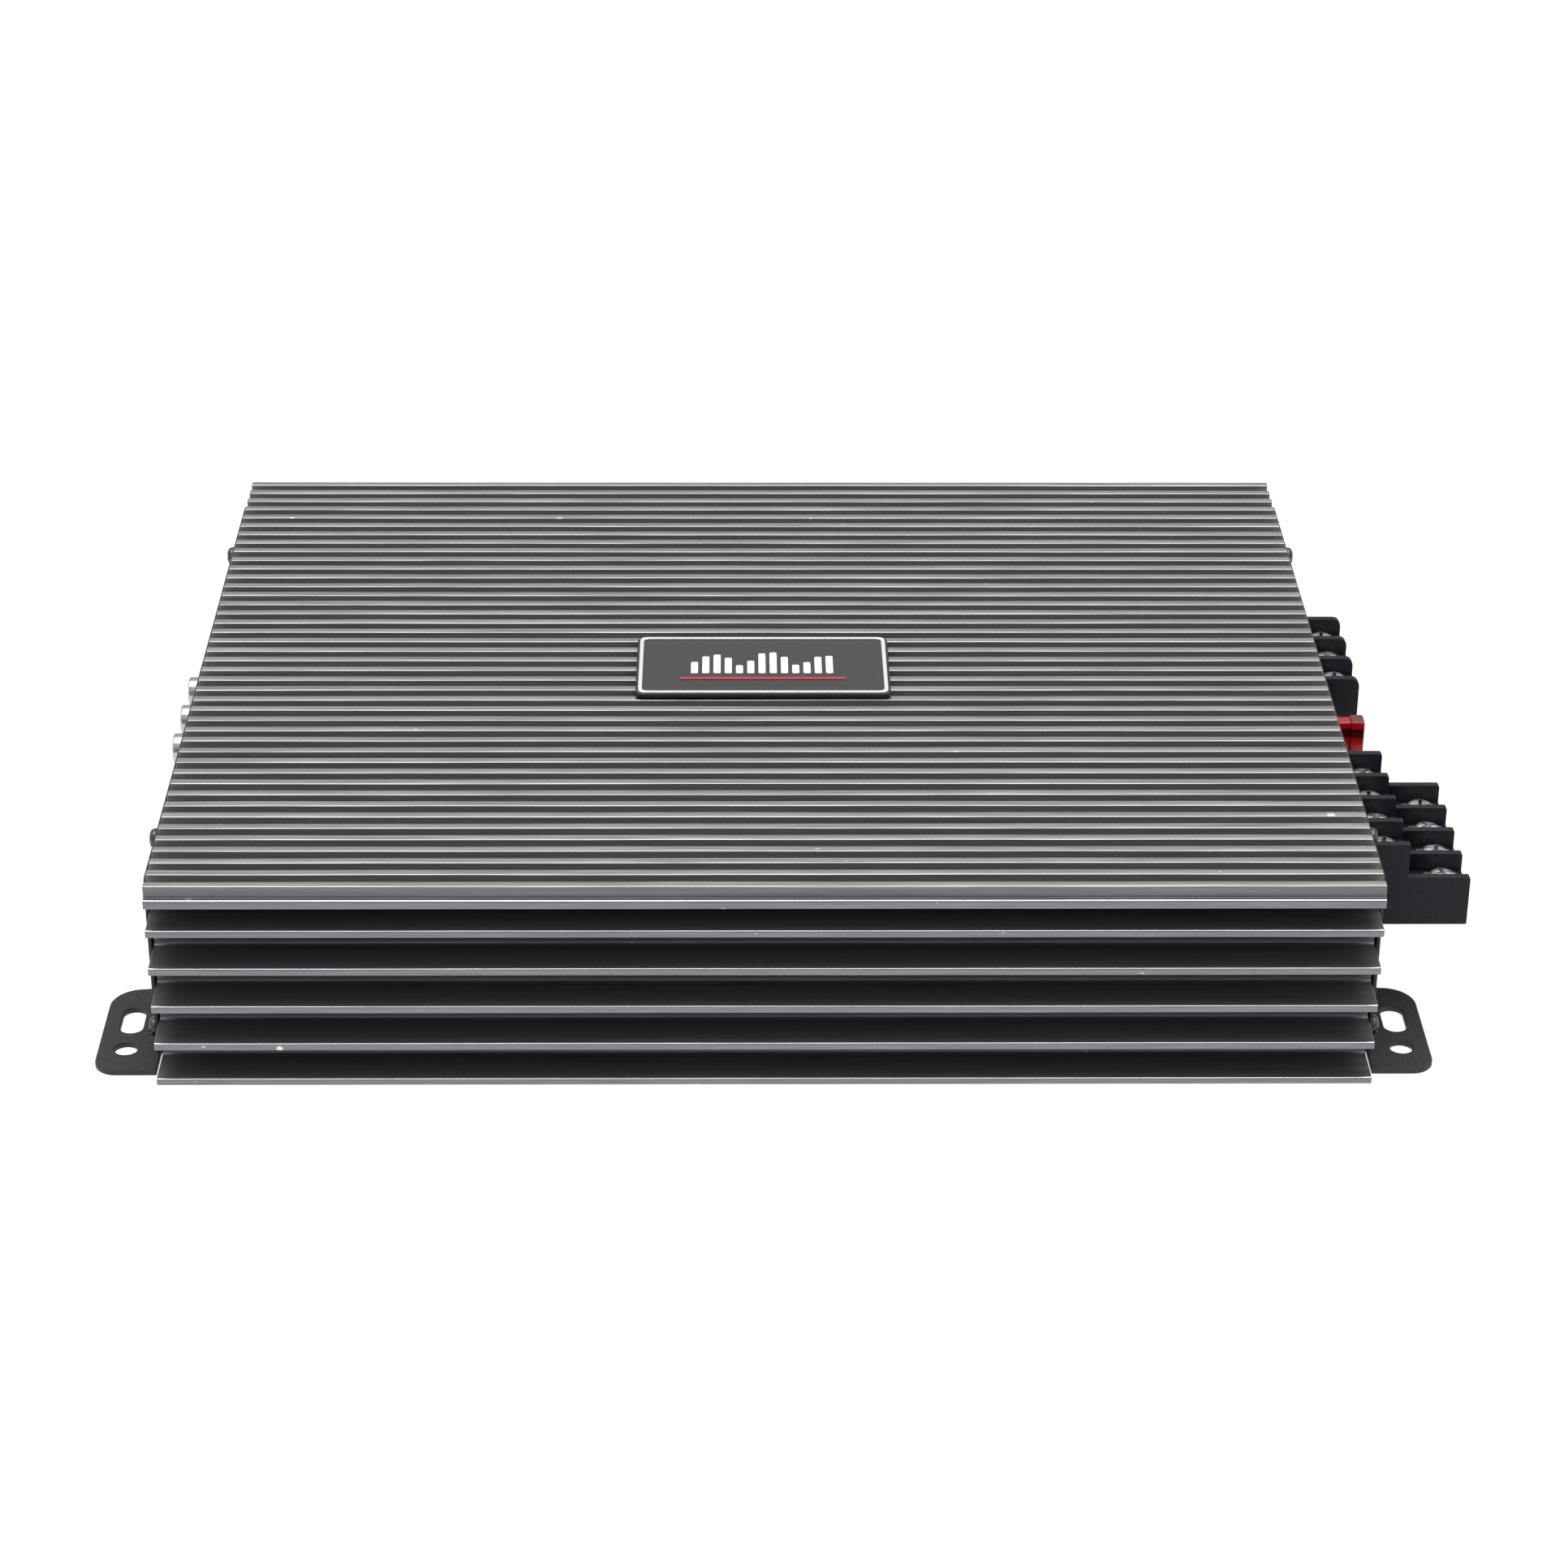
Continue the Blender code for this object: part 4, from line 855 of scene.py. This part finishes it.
def make_fuse(finishes):
    low, high = limits("fuse_body")
    blades_low, blades_high = limits("fuse_element")
    _, y, z = middle("fuse_body")
    body_half, flange_half = (2.0, 9.2), (2.55, 9.55)
    thin, blade, centre = FUSE_POCKET

    def outline(half, radius):
        return rounded_box((y - half[0], z - half[1]), (y + half[0], z + half[1]), radius)

    steps = [(low[0], body_half, 0.35), (low[0] + 0.3, body_half, 0.0)]
    steps += [(FUSE_FLANGE - 0.3, body_half, 0.0), (FUSE_FLANGE, flange_half, 0.1)]
    steps += [(FUSE_FLANGE + 0.2, flange_half, 0.0), (high[0] - 0.5, flange_half, 0.0)]
    steps += [(high[0] - 0.12, flange_half, 0.18), (high[0], flange_half, 0.5)]
    bm = bmesh.new()
    rings = []
    for x, half, inset in steps:
        size = (half[0] - inset, half[1] - inset)
        rings.append([bm.verts.new((x, u, v)) for u, v in outline(size, 0.8)])
    count = len(rings[0])
    for lower, upper in zip(rings, rings[1:]):
        for i in range(count):
            bm.faces.new((lower[i], lower[(i + 1) % count], upper[(i + 1) % count], upper[i]))
    bm.faces.new(rings[0][::-1])
    bm.faces.new(rings[-1])
    pockets, probes = [], []
    for side in (-1, 1):
        at = (y, z + side * centre)
        pockets.append(prism(window(at, (thin, blade)), low[0] - 1.0, FUSE_POCKET_TOP, "X"))
        probes.append(prism(window(at, (0.8, 1.3)), 159.3, high[0] + 1.0, "X"))
    bridge = prism(window((y, z), (thin, centre)), 155.9, FUSE_POCKET_TOP, "X")
    mesh = carved(bm, [joined(*pockets), bridge, joined(*probes)], "blade_fuse", edge=0.08, segments=1)
    add("blade_fuse", mesh, "fuse", finishes["fuse_red"], ["fuse_body"])

    half = (blades_high[1] - blades_low[1]) / 2
    top = blades_high[0]
    loops = []
    for side in (-1, 1):
        near, far = z + side * (centre - 2.6), z + side * (centre + 2.6)
        tip = 0.9 * side
        loops.append([(blades_low[0], near + tip), (blades_low[0] + 1.2, near), (top, near), (top, far),
                      (blades_low[0] + 1.2, far), (blades_low[0], far - tip)])
    link = [(top - 1.9, z - 3.4), (top - 0.6, z - 3.4)]
    for step in range(1, 12):
        link.append((top - 0.9 + 0.5 * math.sin(math.radians(30.0 * step)), z - 3.4 + 6.8 * step / 12))
    link += [(top - 0.6, z + 3.4), (top - 1.9, z + 3.4)]
    parts = [slab([loop], y - half, y + half, 0.06, "Y") for loop in loops]
    parts.append(prism(link, y - half * 0.8, y + half * 0.8, "Y"))
    add("fuse_blades", joined(*parts), "fuse", finishes["fuse_metal"], ["fuse_element"])


def make_fuse_holder(finishes):
    low, high = limits("fuse_holder")
    _, y, z = middle("fuse_holder")
    body = sweep([rounded_box(low[1:], high[1:], 0.8)],
                 ((low[0], 0.3), (low[0] + 0.3, 0.0), (high[0] - 0.25, 0.0), (high[0], 0.25)), "X")
    thin, blade, centre = FUSE_POCKET
    cutters = []
    for side in (-1, 1):
        pocket = window((y, z + side * centre), (thin, blade))
        cutters.append(prism(pocket, low[0] + 1.0, high[0] + 1.0, "X"))
    mesh = carved(body, [joined(*cutters)], "fuse_socket", edge=0.12, segments=1)
    add("fuse_socket", mesh, "chassis", finishes["plastic"], ["fuse_holder"])


# ---------------------------------------------------------------- input side

def along_minus_x(x, y, z):
    """The place of a piece that was turned around Z and now faces -X."""
    turn = Matrix.Rotation(math.radians(-90.0), 4, "Y")
    return Matrix.Translation([value * MM for value in (x, y, z)]) @ turn


def put(name, mesh, matrix, body, finish, replaces=()):
    piece = add(name, mesh, body, finish)
    piece.parent = None
    piece.matrix_world = matrix
    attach(piece, body)
    if replaces:
        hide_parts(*replaces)
    return piece


def make_jacks(finishes):
    """Phono jacks: a plated shell with a rolled rim, an insulator and a sprung centre contact."""
    length = JACK_TIP - JACK_BASE
    shell = [(2.75, length - 7.5), (3.0, length - 7.2), (3.0, length - 0.7), (3.2, length - 0.25),
             (3.5, length), (3.8, length - 0.02), (4.05, length - 0.2), (4.15, length - 0.55),
             (4.15, length - 5.4), (3.98, length - 5.6), (3.98, length - 6.0), (4.15, length - 6.2),
             (4.15, 0.0), (2.75, 0.0), (2.75, length - 7.5)]
    ring = [(1.75, length - 1.1), (1.9, length - 0.9), (2.7, length - 0.9), (2.9, length - 1.1),
            (2.9, length - 7.0), (1.75, length - 7.0), (1.75, length - 1.1)]
    contact = [(1.3, length - 1.6), (1.45, length - 1.4), (1.6, length - 1.5), (1.7, length - 1.8),
               (1.7, length - 8.0), (1.3, length - 8.0), (1.3, length - 1.6)]
    meshes = []
    pieces = (("shell", shell, "jack"), ("ring", ring, "cream"), ("contact", contact, "jack"))
    for name, profile, finish in pieces:
        bm = turned(profile, 40)
        bmesh.ops.remove_doubles(bm, verts=bm.verts, dist=0.0005)
        mesh = mesh_of(bm, f"phono_{name}")
        mesh.materials.append(finishes[finish])
        meshes.append((name, mesh))
    count = 1
    for z in JACK_ZS:
        for y in JACK_YS:
            for name, mesh in meshes:
                matrix = along_minus_x(-JACK_BASE, y, z)
                nodes_for = [f"jack_shell_{count}"] if name == "shell" else []
                put(f"phono_{name}_{count}", mesh, matrix, "chassis", None, nodes_for)
            count += 1
    low, high = limits("jack_block")
    step_x, step_z = JACK_HOUSING_STEP
    section = [(low[0], low[2]), (step_x, low[2]), (step_x, step_z), (high[0], step_z)]
    section += [(high[0], high[2]), (low[0], high[2])]
    mesh = carved(prism(section, low[1], high[1], "Y"), [], "jack_housing", edge=0.5)
    add("jack_housing", mesh, "chassis", finishes["plastic"], ["jack_block"])


def make_controls(finishes):
    def knurl(angle, radius, height):
        on_rim = radius > 3.9 and 0.4 < height < 4.6
        return radius - (0.14 if on_rim and math.sin(24 * angle) > 0 else 0.0)

    reach = 5.2
    profile = [(0.0, reach - 0.25), (2.9, reach - 0.25), (3.1, reach), (3.75, reach), (4.05, reach - 0.2)]
    profile += [(4.2, reach - 0.6), (4.2, 0.45), (4.1, 0.1), (3.9, 0.0), (2.9, 0.0)]
    profile += [(2.9, -10.0), (0.0, -10.0)]
    pointer = prism(rectangle((-0.35, 0.9), (0.35, 5.4)), reach - 0.75, reach + 1.0)
    knob = carved(turned(profile, 96, knurl), [pointer], "control_knob")
    knob.materials.append(finishes["knob"])
    line = slab([rectangle((-0.28, 1.0), (0.28, 3.9))], reach - 0.72, reach - 0.5, 0.04)
    line = mesh_of(line, "pointer_line")
    line.materials.append(finishes["print"])
    for name in KNOBS:
        low, high = limits(f"{name}_knob")
        _, y, z = middle(f"{name}_knob")
        matrix = along_minus_x(low[0] + reach, y, z)
        put(f"{name}_dial", knob, matrix, f"{name}_control", None, [f"{name}_knob"])
        put(f"{name}_pointer", line, matrix, f"{name}_control", None)
    for count in (1, 2):
        node = f"filter_switch_lever_{count}"
        low, high = limits(node)
        loop = rounded_box(low[1:], high[1:], 0.5)
        stations = ((low[0], 0.4), (low[0] + 0.15, 0.12), (low[0] + 0.4, 0.0), (high[0], 0.0))
        grooves = []
        for offset in (-0.8, 0.0, 0.8):
            y = (low[1] + high[1]) / 2 + offset
            grooves.append(prism(rectangle((y - 0.14, low[2] - 1.0), (y + 0.14, high[2] + 1.0)),
                                 low[0] - 1.0, low[0] + 0.35, "X"))
        mesh = carved(sweep([loop], stations, "X"), [joined(*grooves)], f"slide_lever_{count}")
        add(f"slide_lever_{count}", mesh, f"filter_switch_{count}", finishes["knob"], [node])


def make_lamps(finishes):
    for name, colour in zip(LAMPS, ("green", "red")):
        low, high = limits(name)
        _, y, z = middle(name)
        length, radius = high[0] - low[0], (high[1] - low[1]) / 2
        dome = [(radius * math.sin(a), length - radius + radius * math.cos(a))
                for a in (math.radians(15.0 * step) for step in range(7))]
        profile = dome + [(radius, 0.9), (radius + 0.3, 0.8), (radius + 0.3, 0.0), (0.0, 0.0)]
        profile[0] = (0.0, length)
        mesh = mesh_of(turned(profile, 32), name)
        mesh.materials.append(finishes[f"lamp_{colour}"])
        matrix = along_minus_x(high[0], y, z)
        put(name.replace("lamp", "light"), mesh, matrix, "chassis", None, [name])


# ---------------------------------------------------------------- badge

def make_badge(finishes):
    low, high = limits("badge_plate")
    top = high[2]
    plate = rounded_box(low[:2], high[:2], 2.2)
    edge = ((low[2], 0.2), (low[2] + 0.2, 0.0), (top - 0.35, 0.0), (top - 0.08, 0.14), (top, 0.4))
    bm = sweep([plate], edge)
    face = mesh_of(bm, "badge_face")
    face.materials.append(finishes["badge_dark"])
    face.materials.append(finishes["panel"])
    # The plate's sides take the darker, less glossy panel material: painted shade round the badge's edge.
    for polygon in face.polygons:
        polygon.material_index = int(polygon.normal.z < 0.99)
    add("badge_face", face, "chassis", None, ["badge_plate"])
    frame_low, frame_high = limits("badge_frame")
    outer = rounded_box(frame_low[:2], frame_high[:2], 2.0)
    inset = 1.0
    inner = rounded_box([v + inset for v in frame_low[:2]], [v - inset for v in frame_high[:2]], 1.6)
    rim = slab([outer, inner], top - 0.02, frame_high[2], 0.08)
    add("badge_rim", rim, "chassis", finishes["silver"], ["badge_frame"])

    x, y = middle("badge_plate")[:2]
    foot = y - 5.2
    bars = []
    for number in range(13):
        share = 0.25 + 0.75 * abs(math.sin(0.62 * number + 0.5)) * (1.0 - 0.045 * abs(number - 6))
        left = x - 19.2 + 3.0 * number
        bar = rounded_box((left, foot), (left + 1.9, foot + 13.0 * share), 0.5)
        bars.append(slab([bar], top - 0.02, top + 0.3, 0.08))
    add("badge_bars", joined(*bars), "chassis", finishes["white_paint"])
    line = slab([rounded_box((x - 22.0, y - 8.6), (x + 22.0, y - 7.6), 0.4)], top - 0.02, top + 0.25, 0.08)
    add("badge_line", line, "chassis", finishes["badge_red"])


def dress_inner_parts(finishes):
    """Better materials for the CAD nodes that stay as they are."""
    for name, node in nodes.items():
        if name == "main_board":
            finish = "board"
        elif name in ("power_transformer", "filter_choke"):
            finish = "copper"
        elif name.startswith("storage_capacitor"):
            finish = "sleeve"
        else:
            finish = "steel"
        node.data.materials.clear()
        node.data.materials.append(finishes[finish])


# ---------------------------------------------------------------- stage

def make_floor():
    """White paper that glows, so that it stays white: it ends a little in front of the amplifier."""
    bm = bmesh.new()
    bmesh.ops.create_grid(bm, x_segments=8, y_segments=8, size=1.75)
    mesh = bpy.data.meshes.new("floor")
    bm.to_mesh(mesh)
    bm.free()
    floor = bpy.data.objects.new("floor", mesh)
    floor.location = (0.0, 1.39, -0.0003)
    bpy.context.collection.objects.link(floor)
    paper = surface("floor_paper", (0.19, 0.19, 0.19), (0.21, 0.21, 0.21), (0.75, 0.9), 40.0,
                    Emission_Color=(1.0, 1.0, 1.0, 1.0), Emission_Strength=0.97, Specular_IOR_Level=0.0)
    mesh.materials.append(paper)


def area_light(name, at, aim, size, power):
    data = bpy.data.lights.new(name, "AREA")
    data.shape = "RECTANGLE"
    data.size, data.size_y = size
    data.energy = power
    light = bpy.data.objects.new(name, data)
    light.location = at
    light.rotation_euler = (Vector(aim) - Vector(at)).to_track_quat("-Z", "Y").to_euler()
    bpy.context.collection.objects.link(light)


def make_light():
    """A large softbox overhead in a studio that is bright behind and beside the amplifier, dim in front."""
    world = bpy.data.worlds.new("studio")
    bpy.context.scene.world = world
    world.use_nodes = True
    tree = world.node_tree
    way = add_node(tree, "TexCoord").outputs["Generated"]
    rearward = (-0.25, 0.8, 1.0)
    slope = add_node(tree, "VectorMath", {0: way, 1: rearward}, operation="DOT_PRODUCT").outputs["Value"]
    parts = add_node(tree, "SeparateXYZ", {0: way}).outputs
    aside = add_node(tree, "Math", {0: parts["X"]}, operation="ABSOLUTE").outputs[0]
    back = ramp(tree, slope, -0.5, 0.6, 0.15, 0.4)
    high = ramp(tree, parts["Z"], 0.36, 0.6, 0.1, 0.4)
    wide = ramp(tree, aside, 0.5, 0.95, 0.0, 0.5)
    sky = add_node(tree, "Math", {0: back, 1: high}, operation="ADD")
    sky = add_node(tree, "Math", {0: sky.outputs[0], 1: wide}, operation="ADD")
    tree.links.new(sky.outputs[0], tree.nodes["Background"].inputs["Color"])
    area_light("overhead", (0.0, 0.1, 1.6), (0.0, 0.1, 0.0), (2.2, 1.4), 29.0)
    bpy.context.scene.view_settings.view_transform = "Standard"


def make_camera():
    data = bpy.data.cameras.new("camera")
    data.lens = 90.5
    data.sensor_width = 36.0
    data.clip_start = 0.05
    camera = bpy.data.objects.new("camera", data)
    bpy.context.collection.objects.link(camera)
    yaw, pitch, roll = (math.radians(angle) for angle in (-0.781, 90.0 - 27.703, 0.335))
    turn = Matrix.Rotation(yaw, 4, "Z") @ Matrix.Rotation(pitch, 4, "X") @ Matrix.Rotation(roll, 4, "Z")
    camera.matrix_world = Matrix.Translation((-0.00709, -0.9516, 0.51845)) @ turn
    bpy.context.scene.camera = camera


def main():
    make_camera()
    make_light()
    make_floor()
    finishes = make_materials()
    dress_inner_parts(finishes)
    make_heatsink(finishes)
    make_bottom_plate(finishes)
    make_panels(finishes)
    make_prints(finishes)
    make_terminal_block("speaker", SPEAKER, finishes)
    make_terminal_block("power", POWER, finishes)
    make_terminal_screws(finishes)
    make_panel_screws(finishes)
    make_plate_screws(finishes)
    make_fuse(finishes)
    make_fuse_holder(finishes)
    make_jacks(finishes)
    make_controls(finishes)
    make_lamps(finishes)
    make_badge(finishes)


main()
